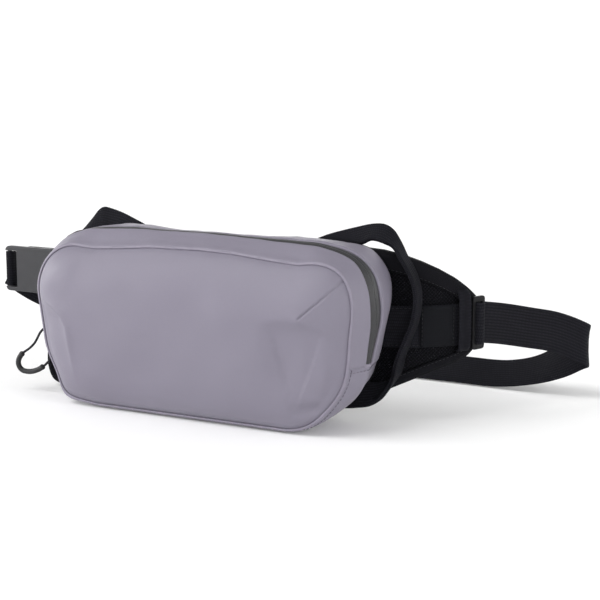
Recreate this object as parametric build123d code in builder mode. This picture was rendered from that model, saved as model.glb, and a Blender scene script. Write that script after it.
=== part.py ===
"""A waist pack: crowned coated-fabric pouch with an arched zip, padded back with two curved wings,
side grab handles, a webbing belt and a slide buckle. Millimetres, +X to the right as seen from the
front, +Y towards the wearer, +Z up, with the origin at the middle of the pouch's flat base."""
import os
from collections import namedtuple
from math import atan2, cos, pi, radians, sin, tan

from build123d import *

os.makedirs("parts", exist_ok=True)

# ---------------------------------------------------------------- driving dimensions
SKIN = 1.2               # coated pouch fabric
LAYER = 0.2              # clearance between sewn layers
WEB_WIDTH = 32.0         # belt webbing
WEB_THICK = 1.7

# The pouch's wall, as rounded trapezoids on three upright planes
Outline = namedtuple("Outline", "y half_top half_bottom z_top z_bottom r_top r_bottom")
WELT = Outline(-26, 147, 128, 131, 7, 40, 54)
ZIP = Outline(-6, 160, 133, 142, 0, 55, 58)
REAR = Outline(27, 154, 123, 140, 0, 39, 56)
CROWN = 16.0             # how far the front panel stands in front of its seam

WELT_HALF = 1.5          # half the piping's depth
TAPE = 4.2               # visible width of each zip tape
COIL_HALF = 1.0
ZIP_END_Z = 45.0         # the zip stops here at both ends; the gusset is one piece below
BINDING = 1.5
BINDING_PROUD = 0.8
BASE_TRIM = 0.1          # trimmed off under the pouch to leave a flat base
LINING_INSET = 3.4
LINING = 0.6

PAD_Y = 30.0             # front face of the padded back
FOAM = 8.0
MESH = 1.6
FACE = 1.0               # outer fabric of a wing
PAD_HALF = 119.5         # half width of the straight middle of the back
WING_ROOT = 120.0
WING_R = 76.0            # plan radius of a wing's outer face

WEB_Z = 76.5             # height of the webbing's centre line on a wing

SLIDER_Z = 57.0          # where the closed zip's slider parks
BUCKLE_X = -266.0        # middle of the buckle
BUCKLE_Y = 127.0
BUCKLE_Z = 77.0

CORD_D = 2.0             # zip pull cord
GRIP_D = 4.4


def save(piece, name):
    """Label a finished piece and write it under its node name."""
    piece.part.label = name
    export_step(piece.part, f"parts/{name}.step")


# ---------------------------------------------------------------- pouch wall
def outline_at(y):
    """The pouch's outline on the upright plane at y."""
    near, far = (WELT, ZIP) if y <= ZIP.y else (ZIP, REAR)
    share = (y - near.y) / (far.y - near.y)
    return Outline(*(a + (b - a) * share for a, b in zip(near, far)))


def outline_face(o, inset=0.0):
    """The rounded trapezoid o as a face, drawn inset by a distance."""
    with BuildSketch(Plane.XZ.offset(-o.y)) as face:
        with BuildLine():
            Polyline(
                (-o.half_bottom + inset, o.z_bottom + inset),
                (o.half_bottom - inset, o.z_bottom + inset),
                (o.half_top - inset, o.z_top - inset),
                (-o.half_top + inset, o.z_top - inset),
                close=True,
            )
        make_face()
        fillet(face.vertices().group_by(Axis.Y)[-1], o.r_top - inset)
        fillet(face.vertices().group_by(Axis.Y)[0], o.r_bottom - inset)
    return face.sketch.face()


def stations(y_front, y_back):
    """The planes that a stretch of wall is lofted through; the outline bends at the zip."""
    middle = [ZIP.y] if y_front < ZIP.y < y_back else []
    return [y_front, *middle, y_back]


def wall_band(y_front, y_back, outer=0.0, wall=SKIN):
    """A closed band of pouch wall between two planes, inset by outer and wall thick."""
    planes = stations(y_front, y_back)
    with BuildPart() as band:
        loft(sections=[outline_face(outline_at(y), outer) for y in planes], ruled=True)
        loft(
            sections=[outline_face(outline_at(y), outer + wall) for y in planes],
            ruled=True,
            mode=Mode.SUBTRACT,
        )
    return band


def arch(y_front, y_back, outer=0.0, wall=SKIN):
    """The part of a wall band that goes over the top, above the ends of the zip."""
    with BuildPart() as band:
        add(wall_band(y_front, y_back, outer, wall).part)
        split(bisect_by=Plane.XY.offset(ZIP_END_Z), keep=Keep.TOP)
    return band


def crown_faces(inset):
    """Outlines of the front panel, from its seam to its flat middle."""
    rim = outline_at(WELT.y)
    steps = ((WELT_HALF + LAYER, 0), (CROWN * 0.45, 6), (CROWN * 0.8, 18), (CROWN, 38))
    return [outline_face(rim._replace(y=WELT.y - out), shrink + inset) for out, shrink in steps]


# front panel: a dished shell
with BuildPart() as front_panel:
    loft(sections=crown_faces(0), ruled=True)
    inner = [face.moved(Location((0, SKIN, 0))) for face in crown_faces(SKIN)]
    loft(sections=inner, ruled=True, mode=Mode.SUBTRACT)
save(front_panel, "front_panel")

# front welt: the piped seam, standing proud of the wall
front_welt = wall_band(WELT.y - WELT_HALF, WELT.y + WELT_HALF, outer=-1.2, wall=2.8)
save(front_welt, "front_welt")

# arched strips from the welt to the back
front_gusset = arch(WELT.y + WELT_HALF + LAYER, ZIP.y - COIL_HALF - TAPE - 2 * LAYER)
save(front_gusset, "front_gusset")

zipper_tape_front = arch(ZIP.y - COIL_HALF - TAPE - LAYER, ZIP.y - COIL_HALF - LAYER, 0.3, 1.0)
save(zipper_tape_front, "zipper_tape_front")

zipper_coil = arch(ZIP.y - COIL_HALF, ZIP.y + COIL_HALF, -0.5, 1.9)
save(zipper_coil, "zipper_coil")

zipper_tape_rear = arch(ZIP.y + COIL_HALF + LAYER, ZIP.y + COIL_HALF + TAPE + LAYER, 0.3, 1.0)
save(zipper_tape_rear, "zipper_tape_rear")

rear_gusset = arch(ZIP.y + COIL_HALF + TAPE + 2 * LAYER, REAR.y - BINDING - LAYER)
save(rear_gusset, "rear_gusset")

# bottom gusset: one piece under the pouch, up to the ends of the zip, with a truly flat base
with BuildPart() as bottom_gusset:
    add(wall_band(WELT.y + WELT_HALF + LAYER, REAR.y - BINDING - LAYER, -BASE_TRIM, SKIN + BASE_TRIM).part)
    split(bisect_by=Plane.XY.offset(ZIP_END_Z - LAYER), keep=Keep.BOTTOM)
    split(bisect_by=Plane.XY, keep=Keep.TOP)
save(bottom_gusset, "bottom_gusset")


# zip end patches: a tab of fabric sewn over each end of the zip
def zip_end_patch(side):
    """The patch over one end of the zip; side is 1 on the right and -1 on the left."""
    with BuildPart() as patch:
        add(wall_band(ZIP.y - 8, ZIP.y + 8, outer=-1.3, wall=1.0).part)
        with Locations((side * 150, ZIP.y, ZIP_END_Z - 6)):
            Box(80, 40, 9, mode=Mode.INTERSECT)
    return patch


for side, word in ((-1, "left"), (1, "right")):
    save(zip_end_patch(side), f"zip_end_patch_{word}")

# rear binding, lining and the pouch's own back
with BuildPart() as rear_binding:
    add(wall_band(REAR.y - BINDING, REAR.y, outer=-BINDING_PROUD, wall=3.0).part)
    split(bisect_by=Plane.XY, keep=Keep.TOP)
save(rear_binding, "rear_binding")

lining = wall_band(WELT.y, REAR.y - BINDING, outer=LINING_INSET, wall=LINING)
save(lining, "lining")

with BuildPart() as back_sheet:
    add(outline_face(outline_at(REAR.y)._replace(y=REAR.y + LAYER)))
    extrude(amount=-SKIN, dir=(0, -1, 0))
save(back_sheet, "back_sheet")

with BuildPart() as back_stiffener:
    add(outline_face(outline_at(REAR.y)._replace(y=REAR.y + SKIN + 2 * LAYER), 9))
    extrude(amount=1.0, dir=(0, 1, 0))
save(back_stiffener, "back_stiffener")


# ---------------------------------------------------------------- padded back
CHANNEL_HALF = 14.0      # half width of the air channel down the middle of the back


def back_outline(inset=0.0):
    """The middle of the back, drawn on an upright plane, with its lower corners cut off."""
    return (
        (-95, 4.5 + inset),
        (95, 4.5 + inset),
        (PAD_HALF, 20 + inset),
        (PAD_HALF, 136.5 - inset),
        (-PAD_HALF, 136.5 - inset),
        (-PAD_HALF, 20 + inset),
    )


def back_layer(y_front, thick, inset=0.0):
    """A flat layer of the padded back."""
    with BuildPart() as layer:
        with BuildSketch(Plane.XZ.offset(-y_front)):
            with BuildLine():
                Polyline(*back_outline(inset), close=True)
            make_face()
        extrude(amount=-thick)
    return layer


with BuildPart() as back_foam:
    add(back_layer(PAD_Y, FOAM - LAYER, 1.5).part)
    with Locations((0, PAD_Y, 70)):
        Box(2 * CHANNEL_HALF, 40, 160, mode=Mode.SUBTRACT)
save(back_foam, "back_foam")

back_mesh = back_layer(PAD_Y + FOAM, MESH)
save(back_mesh, "back_mesh")

# ---------------------------------------------------------------- wings
# A wing's height along its curved length: distance from the root, lowest z, highest z
WING_PROFILE = (
    (0, 20, 136.5),
    (15, 27, 135.5),
    (30, 33, 132.5),
    (45, 38.5, 126.5),
    (60, 44, 119),
    (73, 48, 112),
    (85, 52.5, 104),
    (93, 58, 97.5),
    (97, 64, 90),
)
WING_LENGTH = WING_PROFILE[-1][0]


def wing_plane(s, side):
    """The plane across a wing at distance s from its root: local x is depth, local y is up."""
    turn = s / WING_R
    origin = (side * (WING_ROOT + WING_R * sin(turn)), PAD_Y + WING_R * (1 - cos(turn)), 0)
    return Plane(
        origin,
        x_dir=(-side * sin(turn), cos(turn), 0),
        z_dir=(cos(turn), side * sin(turn), 0),
    )


def strip_on_wing(side, rows):
    """A strip that follows a wing. Each row is distance, depths from and to, lowest and highest z."""
    faces = []
    for s, deep_from, deep_to, low, high in rows:
        with BuildSketch(wing_plane(s, side)) as face:
            with Locations(((deep_from + deep_to) / 2, (low + high) / 2)):
                Rectangle(deep_to - deep_from, high - low)
        faces.append(face.sketch.face())
    with BuildPart() as strip:
        loft(sections=faces, ruled=True)
    return strip


def wing_layer(side, deep_from, deep_to, inset=0.0):
    """One layer of a wing over its whole outline."""
    rows = [(s, deep_from, deep_to, low + inset, high - inset) for s, low, high in WING_PROFILE]
    return strip_on_wing(side, rows)


def wing_ring(side):
    """The binding round a wing's edge: a thin skin over the top, the tip and the bottom."""
    with BuildPart() as ring:
        rows = [
            (s + (1.2 if s == WING_LENGTH else 0), -0.2, FOAM + MESH + 0.4, low - 1.1, high + 1.1)
            for s, low, high in WING_PROFILE
        ]
        add(strip_on_wing(side, rows).part)
        core = [(s, -3, FOAM + MESH + 3, low - 0.1, high + 0.1) for s, low, high in WING_PROFILE]
        core[0] = (-2, *core[0][1:])
        add(strip_on_wing(side, core).part, mode=Mode.SUBTRACT)
    return ring


for side, word in ((-1, "left"), (1, "right")):
    save(wing_layer(side, 0, FACE, 1), f"wing_face_{word}")
    save(wing_layer(side, FACE + LAYER, FOAM - LAYER, 1), f"wing_foam_{word}")
    save(wing_layer(side, FOAM, FOAM + MESH, 1), f"wing_mesh_{word}")
    save(wing_ring(side), f"wing_binding_{word}")

# ---------------------------------------------------------------- webbing on the wings
WEB_LOW = WEB_Z - WEB_WIDTH / 2
WEB_HIGH = WEB_Z + WEB_WIDTH / 2
STRAP_BACK = -LAYER                       # depth of the webbing's sewn face
STRAP_FRONT = STRAP_BACK - WEB_THICK
STRAP_START = 18.0                        # stretch of the wing that the webbing runs along
STRAP_END = 85.0
PATCH = (44.0, 71.0)                      # stretch covered by the smooth patch
KEEPER = (73.0, 83.0)
KEEPER_THICK = 1.4
KEEPER_RISE = 3.6                         # height of the keeper's inside over the wing


def along(s_from, s_to, pieces):
    """Evenly spaced distances along a wing."""
    return [s_from + (s_to - s_from) * i / pieces for i in range(pieces + 1)]


def keeper(side):
    """A band of webbing that bridges the belt webbing, sewn to the wing above and below it."""
    low, high = WEB_LOW - 2.5, WEB_HIGH + 9.5
    top = -KEEPER_RISE - KEEPER_THICK
    outer = [(s, top, -LAYER, low, high) for s in along(*KEEPER, 2)]
    inner = [
        (s, -KEEPER_RISE, 1, low + KEEPER_THICK, high - KEEPER_THICK)
        for s in along(KEEPER[0] - 1, KEEPER[1] + 1, 2)
    ]
    with BuildPart() as band:
        add(strip_on_wing(side, outer).part)
        add(strip_on_wing(side, inner).part, mode=Mode.SUBTRACT)
    return band


for side, word in ((-1, "left"), (1, "right")):
    rows = [(s, STRAP_FRONT, STRAP_BACK, WEB_LOW, WEB_HIGH) for s in along(STRAP_START, STRAP_END, 6)]
    save(strip_on_wing(side, rows), f"wing_strap_{word}")

# on the right wing a smooth patch covers the webbing, and a keeper holds the belt's spare end
front = STRAP_FRONT - LAYER
rows = [(s, front - 0.7, front, WEB_LOW, WEB_HIGH) for s in along(*PATCH, 3)]
save(strip_on_wing(1, rows), "wing_patch")
save(keeper(1), "keeper")

# belt adjuster: a three-bar slide at the tip of the right wing
ADJUSTER_S = 91.5
ADJUSTER = (13.0, 41.0, 2.4)              # along the belt, across it, thickness
ADJUSTER_DEPTH = -4.6
ADJUSTER_SLOT = (2.6, 33.5)
middle = wing_plane(ADJUSTER_S, 1)
face_plane = Plane(
    middle.from_local_coords((ADJUSTER_DEPTH, WEB_Z, 0)),
    x_dir=middle.z_dir,
    z_dir=-middle.x_dir,
)
with BuildPart() as belt_adjuster:
    with BuildSketch(face_plane):
        RectangleRounded(ADJUSTER[0], ADJUSTER[1], 2.5)
        with GridLocations(5.2, 0, 2, 1):
            SlotOverall(ADJUSTER_SLOT[1], ADJUSTER_SLOT[0], rotation=90, mode=Mode.SUBTRACT)
    extrude(amount=-ADJUSTER[2])
    fillet(belt_adjuster.edges().filter_by(GeomType.CIRCLE).group_by(SortBy.RADIUS)[-1], 0.4)
save(belt_adjuster, "belt_adjuster")


# ---------------------------------------------------------------- ribbons
def ribbon(rows, width, thick):
    """Webbing along a path. Each row is the centre's x, y, z and its lean: degrees from upright,
    positive when the upper edge leans to the left of the direction of travel, seen from above."""
    faces = []
    for i, (x, y, z, lean) in enumerate(rows):
        before, after = rows[max(i - 1, 0)], rows[min(i + 1, len(rows) - 1)]
        forward = Vector(after[0] - before[0], after[1] - before[1], after[2] - before[2]).normalized()
        left = Vector(0, 0, 1).cross(forward).normalized()
        up = forward.cross(left)
        across = up * cos(radians(lean)) + left * sin(radians(lean))
        with BuildSketch(Plane((x, y, z), x_dir=across, z_dir=forward)) as face:
            Rectangle(width, thick)
        faces.append(face.sketch.face())
    with BuildPart() as band:
        loft(sections=faces, ruled=True)
    return band


# belt: from the adjuster, round a hairpin, back along the floor and up to the buckle
TURN_CENTRE = (240.0, 176.0)
TURN_R = 10.0
belt_start = wing_plane(94.0, 1).from_local_coords((STRAP_FRONT + WEB_THICK / 2, WEB_Z, 0))
BELT_TURN = [
    (
        TURN_CENTRE[0] + TURN_R * cos(radians(angle)),
        TURN_CENTRE[1] + TURN_R * sin(radians(angle)),
        48.5 - 0.08 * (angle + 30),
        -lean,
    )
    for angle, lean in ((-30, 0), (0, 3), (30, 8), (60, 14), (90, 20))
]
BELT = [
    (belt_start.X, belt_start.Y, WEB_Z, 0),
    (203, 104, 72, 0),
    (217, 128, 66, 0),
    (232, 151, 59.5, 0),
    (242.5, 164, 53, 0),
    *BELT_TURN,
    (228, 188, 30.5, -30),
    (213, 191, 22.5, -42),
    (196, 194, 16, -52),
    (176, 196, 11.5, -57),
    (130, 198, 10, -59),
    (60, 199, 9.8, -59),
    (-40, 199, 9.8, -59),
    (-120, 198, 10, -58),
    (-160, 196, 12.5, -52),
    (-195, 190, 21, -38),
    (-228, 178, 36, -22),
    (-252, 164, 50, -10),
    (-266, 153.5, 59, -4),
]
belt = ribbon(BELT, WEB_WIDTH, WEB_THICK)
save(belt, "belt")


# ---------------------------------------------------------------- grab handles
HANDLE_WIDTH = 15.0
HANDLE_THICK = 3.4                        # two layers of webbing, stitched together
HANDLE_RIGHT = (
    (96, 36.5, 139.6),
    (104, 36.5, 144.5),
    (118, 36.5, 149.5),
    (133, 36.5, 151.6),
    (145, 36.5, 149.5),
    (154, 34.5, 142.4),
    (160, 30.8, 131.4),
    (165, 33.0, 117),
    (168, 34.8, 100),
    (168.5, 33, 84),
    (166, 32, 67),
    (160, 30, 50),
    (151, 26.5, 36),
    (140, 24.5, 27),
    (130, 26, 20.7),
    (122, 28.5, 17),
)
HANDLE_LEFT = (
    (-92, 36.5, 139.6),
    (-101, 36.5, 144.5),
    (-114, 36.5, 148),
    (-127, 36.5, 149.6),
    (-138, 36.5, 147.6),
    (-148, 34.5, 141.5),
    (-157, 29.5, 130),
    (-163, 32.5, 115),
    (-167, 34.5, 98),
    (-170, 33.5, 80),
    (-173, 32.5, 61),
    (-175, 30.5, 42),
    (-173, 28, 24),
    (-165, 26, 11),
    (-151, 25, 6.5),
    (-138, 25.5, 8),
    (-129, 27, 11.5),
    (-122, 28.5, 15.5),
)


def handle(rows):
    """A folded webbing handle whose width lies front to back."""
    faces = []
    for i, (x, y, z) in enumerate(rows):
        before, after = rows[max(i - 1, 0)], rows[min(i + 1, len(rows) - 1)]
        forward = Vector(after[0] - before[0], 0, after[2] - before[2]).normalized()
        with BuildSketch(Plane((x, y, z), x_dir=(0, 1, 0), z_dir=forward)) as face:
            Rectangle(HANDLE_WIDTH, HANDLE_THICK)
        faces.append(face.sketch.face())
    with BuildPart() as band:
        loft(sections=faces, ruled=True)
    return band


save(handle(HANDLE_RIGHT), "handle_right")
save(handle(HANDLE_LEFT), "handle_left")

# ---------------------------------------------------------------- slide buckle
BUCKLE = (56.0, 42.0)                     # along the belt, across it
TRAY_THICK = 4.0
COVER_THICK = 5.4
PLAY = 0.4                                # running clearance between the halves
RAIL = (8.0, 1.8)                         # width and height of the guide rail
BAR_X = BUCKLE_X - BUCKLE[0] / 2 + 4.0    # the belt's bar, at the buckle's outer end
BAR_R = 2.0
WINDOW = (13.5, 34.0)                     # notch in the outer end that the bar crosses
TRAY_Y = BUCKLE_Y + PLAY / 2              # front face of the tray
COVER_Y = BUCKLE_Y - PLAY / 2             # rear face of the cover
TRAY_X = (BUCKLE_X - 8.0, BUCKLE_X + BUCKLE[0] / 2 + 6)
TRAY_SLOT = (4.0, 34.0)
MAGNET_R = 5.0
MAGNET_THICK = 2.0
POCKET = 2.6                              # depth of a magnet's pocket
POCKET_R = MAGNET_R + 0.1
MAGNET_DEPTH = 1.4                        # middle of a magnet below its half's inner face
MAGNET_SPOTS = ((BUCKLE_X + 18, BUCKLE_Z), (BUCKLE_X - 6, BUCKLE_Z))

# cover: the outer half, with the belt's bar, a guide rail and a magnet pocket
with BuildPart() as buckle_cover:
    with BuildSketch(Plane.XZ.offset(-COVER_Y)):
        with Locations((BUCKLE_X, BUCKLE_Z)):
            RectangleRounded(BUCKLE[0], BUCKLE[1], 4)
    extrude(amount=COVER_THICK)
    fillet(buckle_cover.faces().sort_by(Axis.Y)[0].edges(), 1.6)
    with BuildSketch(Plane.XZ.offset(-COVER_Y)):
        with Locations((BUCKLE_X - BUCKLE[0] / 2 + WINDOW[0] / 2 - 1, BUCKLE_Z)):
            Rectangle(WINDOW[0] + 2, WINDOW[1])
    extrude(amount=COVER_THICK, mode=Mode.SUBTRACT)
    with Locations((BUCKLE_X + 6, COVER_Y + RAIL[1] / 2, BUCKLE_Z)):
        Box(RAIL[0], RAIL[1], BUCKLE[1] - 4)
    with BuildSketch(Plane.XZ.offset(-COVER_Y)):
        with Locations(*MAGNET_SPOTS):
            Circle(POCKET_R)
    extrude(amount=POCKET, mode=Mode.SUBTRACT)
    with BuildSketch(Plane.XY.offset(BUCKLE_Z - WINDOW[1] / 2 - 0.5)):
        with Locations((BAR_X, COVER_Y - COVER_THICK / 2)):
            Circle(BAR_R)
    extrude(amount=WINDOW[1] + 1)
save(buckle_cover, "buckle_cover")

# tray: the inner half, with the rail's groove and the slot for the short webbing
with BuildPart() as buckle_tray:
    with BuildSketch(Plane.XZ.offset(-TRAY_Y)):
        with Locations(((TRAY_X[0] + TRAY_X[1]) / 2, BUCKLE_Z)):
            RectangleRounded(TRAY_X[1] - TRAY_X[0], BUCKLE[1], 3)
    extrude(amount=-TRAY_THICK)
    with Locations((BUCKLE_X + 6, TRAY_Y + (RAIL[1] + PLAY) / 2, BUCKLE_Z)):
        Box(RAIL[0] + 2 * PLAY, RAIL[1] + PLAY, 80, mode=Mode.SUBTRACT)
    with BuildSketch(Plane.XZ.offset(-TRAY_Y)):
        with Locations((TRAY_X[1] - 4.5, BUCKLE_Z)):
            RectangleRounded(TRAY_SLOT[0], TRAY_SLOT[1], 1.2)
        with Locations(*MAGNET_SPOTS):
            Circle(POCKET_R)
    extrude(amount=-POCKET, mode=Mode.SUBTRACT)
    with BuildSketch(Plane.XZ.offset(-TRAY_Y)):
        with Locations((TRAY_X[1] - 4.5, BUCKLE_Z)):
            RectangleRounded(TRAY_SLOT[0], TRAY_SLOT[1], 1.2)
    extrude(amount=-TRAY_THICK, mode=Mode.SUBTRACT)
save(buckle_tray, "buckle_tray")


def magnets(y_centre):
    """The pair of disc magnets of one half of the buckle."""
    with BuildPart() as pair:
        with BuildSketch(Plane.XZ.offset(-y_centre)):
            with Locations(*MAGNET_SPOTS):
                Circle(MAGNET_R)
        extrude(amount=MAGNET_THICK / 2, both=True)
    return pair


save(magnets(COVER_Y - MAGNET_DEPTH), "cover_magnets")
save(magnets(TRAY_Y + MAGNET_DEPTH), "tray_magnets")

# belt end loop: the belt's last stretch, round the cover's bar and back on itself
BAR_Y = COVER_Y - COVER_THICK / 2
WRAP_R = BAR_R + 0.2 + WEB_THICK / 2
LOOP_START = (-267.0, 152.7, 59.5)
wrap = [
    (BAR_X + WRAP_R * cos(radians(angle)), BAR_Y + WRAP_R * sin(radians(angle)), BUCKLE_Z, 0)
    for angle in (130, 165, 200, 235, 270, 305, 340)
]
LOOP = [
    (*LOOP_START, -4),
    (-277, 146.5, 66, -2),
    (-287, 137.5, 73, 0),
    (-291, 131, 76, 0),
    *wrap,
    (BAR_X + WRAP_R + 0.6, BAR_Y + 3.2, BUCKLE_Z, 0),
]
save(ribbon(LOOP, WEB_WIDTH, WEB_THICK), "belt_end_loop")

# buckle strap: short webbing from the left wing to the tray
STRAP_DEPTH = STRAP_FRONT + WEB_THICK / 2
wing_part = []
for s, lift in ((STRAP_END + 0.3, 0), (90, 0.2), (95, 0.4), (99, 0.5)):
    point = wing_plane(s, -1).from_local_coords((STRAP_DEPTH - lift, WEB_Z, 0))
    wing_part.append((point.X, point.Y, WEB_Z, 0))
BUCKLE_STRAP = [
    *wing_part,
    (-197.5, 97, WEB_Z, 0),
    (-204, 110, 76.6, 0),
    (-214, 121, 76.8, 0),
    (-224, 127.5, BUCKLE_Z, 0),
    (-231, 130.2, BUCKLE_Z, 0),
]
save(ribbon(BUCKLE_STRAP, WEB_WIDTH, WEB_THICK), "buckle_strap")

# ---------------------------------------------------------------- zip slider and pull
slope = atan2(ZIP.half_top - ZIP.half_bottom, ZIP.z_top - ZIP.z_bottom)
track_x = -(ZIP.half_bottom + (SLIDER_Z - ZIP.z_bottom) * tan(slope))
slider_plane = Plane(
    (track_x, ZIP.y, SLIDER_Z), x_dir=(-sin(slope), 0, cos(slope)), z_dir=(-cos(slope), 0, -sin(slope))
)
EYE_RISE = 4.9                            # height of the bail's eye over the zip's surface
EYE = (5.4, 2.8)

with BuildPart() as zipper_slider:
    with BuildSketch(slider_plane.offset(1.0)):
        RectangleRounded(13, 8.6, 3)
    extrude(amount=1.5)
    with BuildSketch(slider_plane.offset(0.3)):
        with Locations((0, -3.4), (0, 3.4)):
            RectangleRounded(8, 1.6, 0.7)
    extrude(amount=0.8)
    with BuildSketch(Plane(slider_plane.origin, x_dir=slider_plane.x_dir, z_dir=(0, -1, 0))):
        with Locations((0, 4.2)):
            RectangleRounded(9.4, 5.6, 1.6)
        with Locations((0, EYE_RISE)):
            SlotOverall(EYE[0], EYE[1], mode=Mode.SUBTRACT)
    extrude(amount=0.9, both=True)
save(zipper_slider, "zipper_slider")

# zip pull: a cord loop through the slider's eye, inside a moulded tube at the bottom
CORD = (
    (-148.65, -6.3, 56.1),
    (-148.8, -9.0, 56.0),
    (-153.0, -9.4, 52.3),
    (-156.6, -8.6, 47.0),
    (-161.0, -7.6, 41.2),
    (-167.5, -6.8, 36.0),
    (-175.8, -6.2, 31.2),
    (-180.5, -6.0, 23.6),
    (-177.2, -5.9, 17.0),
    (-168.6, -5.8, 16.2),
    (-159.8, -5.6, 18.7),
    (-152.8, -5.2, 23.3),
    (-147.4, -4.8, 28.6),
    (-146.2, -4.0, 35.8),
    (-146.7, -3.2, 44.0),
    (-148.3, -2.8, 51.8),
    (-148.8, -3.0, 56.2),
    (-148.65, -5.7, 56.1),
)
GRIP_FIRST = 5           # the tube starts on the run after this point
GRIP_LAST = 11           # and ends on the run before this one
GRIP_SHARE = 0.25        # how far inside those runs its ends lie


def bend_radii(points):
    """The largest radius that fits at each inner point of a route."""
    radii = []
    for a, b, c in zip(points, points[1:], points[2:]):
        into, out = Vector(*b) - Vector(*a), Vector(*c) - Vector(*b)
        half_turn = radians(into.get_angle(out)) / 2
        radii.append(0.45 * min(into.length, out.length) / tan(half_turn))
    return radii


def tube(points, radii, radius, bore=0.0):
    """A round tube along straight runs joined by tangent arcs, and its path."""
    with BuildPart() as piece:
        with BuildLine() as path:
            route = FilletPolyline(*points, radius=radii)
        with BuildSketch(Plane(route @ 0, z_dir=route % 0)):
            Circle(radius)
            if bore:
                Circle(bore, mode=Mode.SUBTRACT)
        sweep()
    return piece, route.length


cord_radii = bend_radii(CORD)
print("cord radii", [round(radius, 1) for radius in cord_radii])
pull_cord, cord_length = tube(CORD, cord_radii, CORD_D / 2)
cord_volume = pi * CORD_D**2 / 4 * cord_length
print("cord length", round(cord_length, 1), "volume share", round(pull_cord.part.volume / cord_volume, 4))
save(pull_cord, "pull_cord")


def part_way(a, b, share):
    """The point a share of the way from a to b."""
    return tuple(p + (q - p) * share for p, q in zip(a, b))


grip_route = [
    part_way(CORD[GRIP_FIRST], CORD[GRIP_FIRST + 1], GRIP_SHARE),
    *CORD[GRIP_FIRST + 1 : GRIP_LAST],
    part_way(CORD[GRIP_LAST], CORD[GRIP_LAST - 1], GRIP_SHARE),
]
grip_radii = cord_radii[GRIP_FIRST : GRIP_LAST - 1]
pull_grip = tube(grip_route, grip_radii, GRIP_D / 2, CORD_D / 2 + 0.1)[0]
save(pull_grip, "pull_grip")
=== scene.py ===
"""The looks of a waist pack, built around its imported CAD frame.

Shapes are worked out in millimetres and written in metres, in the row frame: +X to the right seen
from the front, +Y towards the wearer, +Z up."""

from collections import namedtuple
from contextlib import contextmanager
from math import atan2, cos, hypot, pi, radians, sin

import bmesh
import bpy
import numpy as np
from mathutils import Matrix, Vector


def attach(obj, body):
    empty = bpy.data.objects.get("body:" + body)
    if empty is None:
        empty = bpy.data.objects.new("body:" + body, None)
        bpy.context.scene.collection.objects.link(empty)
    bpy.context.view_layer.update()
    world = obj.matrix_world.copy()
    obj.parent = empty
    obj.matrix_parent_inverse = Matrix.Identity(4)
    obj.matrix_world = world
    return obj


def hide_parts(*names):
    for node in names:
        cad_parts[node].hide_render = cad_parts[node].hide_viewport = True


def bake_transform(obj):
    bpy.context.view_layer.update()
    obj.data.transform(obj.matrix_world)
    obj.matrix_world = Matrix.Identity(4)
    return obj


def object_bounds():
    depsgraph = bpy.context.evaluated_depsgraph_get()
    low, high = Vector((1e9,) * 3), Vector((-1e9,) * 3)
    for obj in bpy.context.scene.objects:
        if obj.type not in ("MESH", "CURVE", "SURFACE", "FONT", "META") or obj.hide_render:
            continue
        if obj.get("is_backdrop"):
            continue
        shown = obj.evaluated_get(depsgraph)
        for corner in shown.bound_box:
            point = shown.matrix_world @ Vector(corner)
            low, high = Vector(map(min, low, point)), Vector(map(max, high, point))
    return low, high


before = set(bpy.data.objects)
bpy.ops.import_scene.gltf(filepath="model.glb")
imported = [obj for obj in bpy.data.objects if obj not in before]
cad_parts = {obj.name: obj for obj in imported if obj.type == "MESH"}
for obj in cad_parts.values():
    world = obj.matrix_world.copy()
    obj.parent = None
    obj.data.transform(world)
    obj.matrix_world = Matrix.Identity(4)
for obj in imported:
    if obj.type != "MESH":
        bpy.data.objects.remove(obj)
cad_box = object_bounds()
MM = 0.001
SIDES = ((-1, "left"), (1, "right"))

# ---------------------------------------------------------------- camera and lights
AZIMUTH, ELEVATION = radians(28), radians(10)
TARGET, DISTANCE = Vector((0.0682, 0.027, 0.0913)), 1.150
LENS, SENSOR = 90, 36
SUN_FROM, SUN_POWER, SUN_SPREAD = Vector((-0.45, -0.62, 0.85)), 1.45, radians(40)
SKY_POWER = 0.56


def placed(name, data, place, away, **settings):
    """A camera or light at a place, looking against the direction away."""
    thing = bpy.data.objects.new(name, data)
    for key, value in settings.items():
        setattr(data, key, value)
    thing.location = place
    thing.rotation_euler = away.to_track_quat("Z", "Y").to_euler()
    bpy.context.scene.collection.objects.link(thing)
    return thing


back = Vector((sin(AZIMUTH) * cos(ELEVATION), -cos(AZIMUTH) * cos(ELEVATION), sin(ELEVATION)))
bpy.context.scene.camera = placed(
    "camera", bpy.data.cameras.new("camera"), TARGET + back * DISTANCE, back,
    lens=LENS, sensor_width=SENSOR,
)
for name, place, size, power in (
    ("light_left", Vector((-1.7, -0.6, 0.35)), 0.6, 11),
    ("light_right", Vector((1.7, -0.5, 0.9)), 0.5, 4),
):
    lamp = bpy.data.lights.new(name, "AREA")
    placed(name, lamp, place, place - TARGET, shape="DISK", size=size, energy=power)
lamp = bpy.data.lights.new("light_top", "SUN")
placed("light_top", lamp, (0, 0, 0), SUN_FROM, energy=SUN_POWER, angle=SUN_SPREAD)

world = bpy.data.worlds.new("studio")
world.use_nodes = True
sky = world.node_tree.nodes["Background"].inputs
sky["Color"].default_value, sky["Strength"].default_value = (1, 1, 1, 1), SKY_POWER
bpy.context.scene.world = world
bpy.context.scene.view_settings.view_transform = "Standard"


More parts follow.
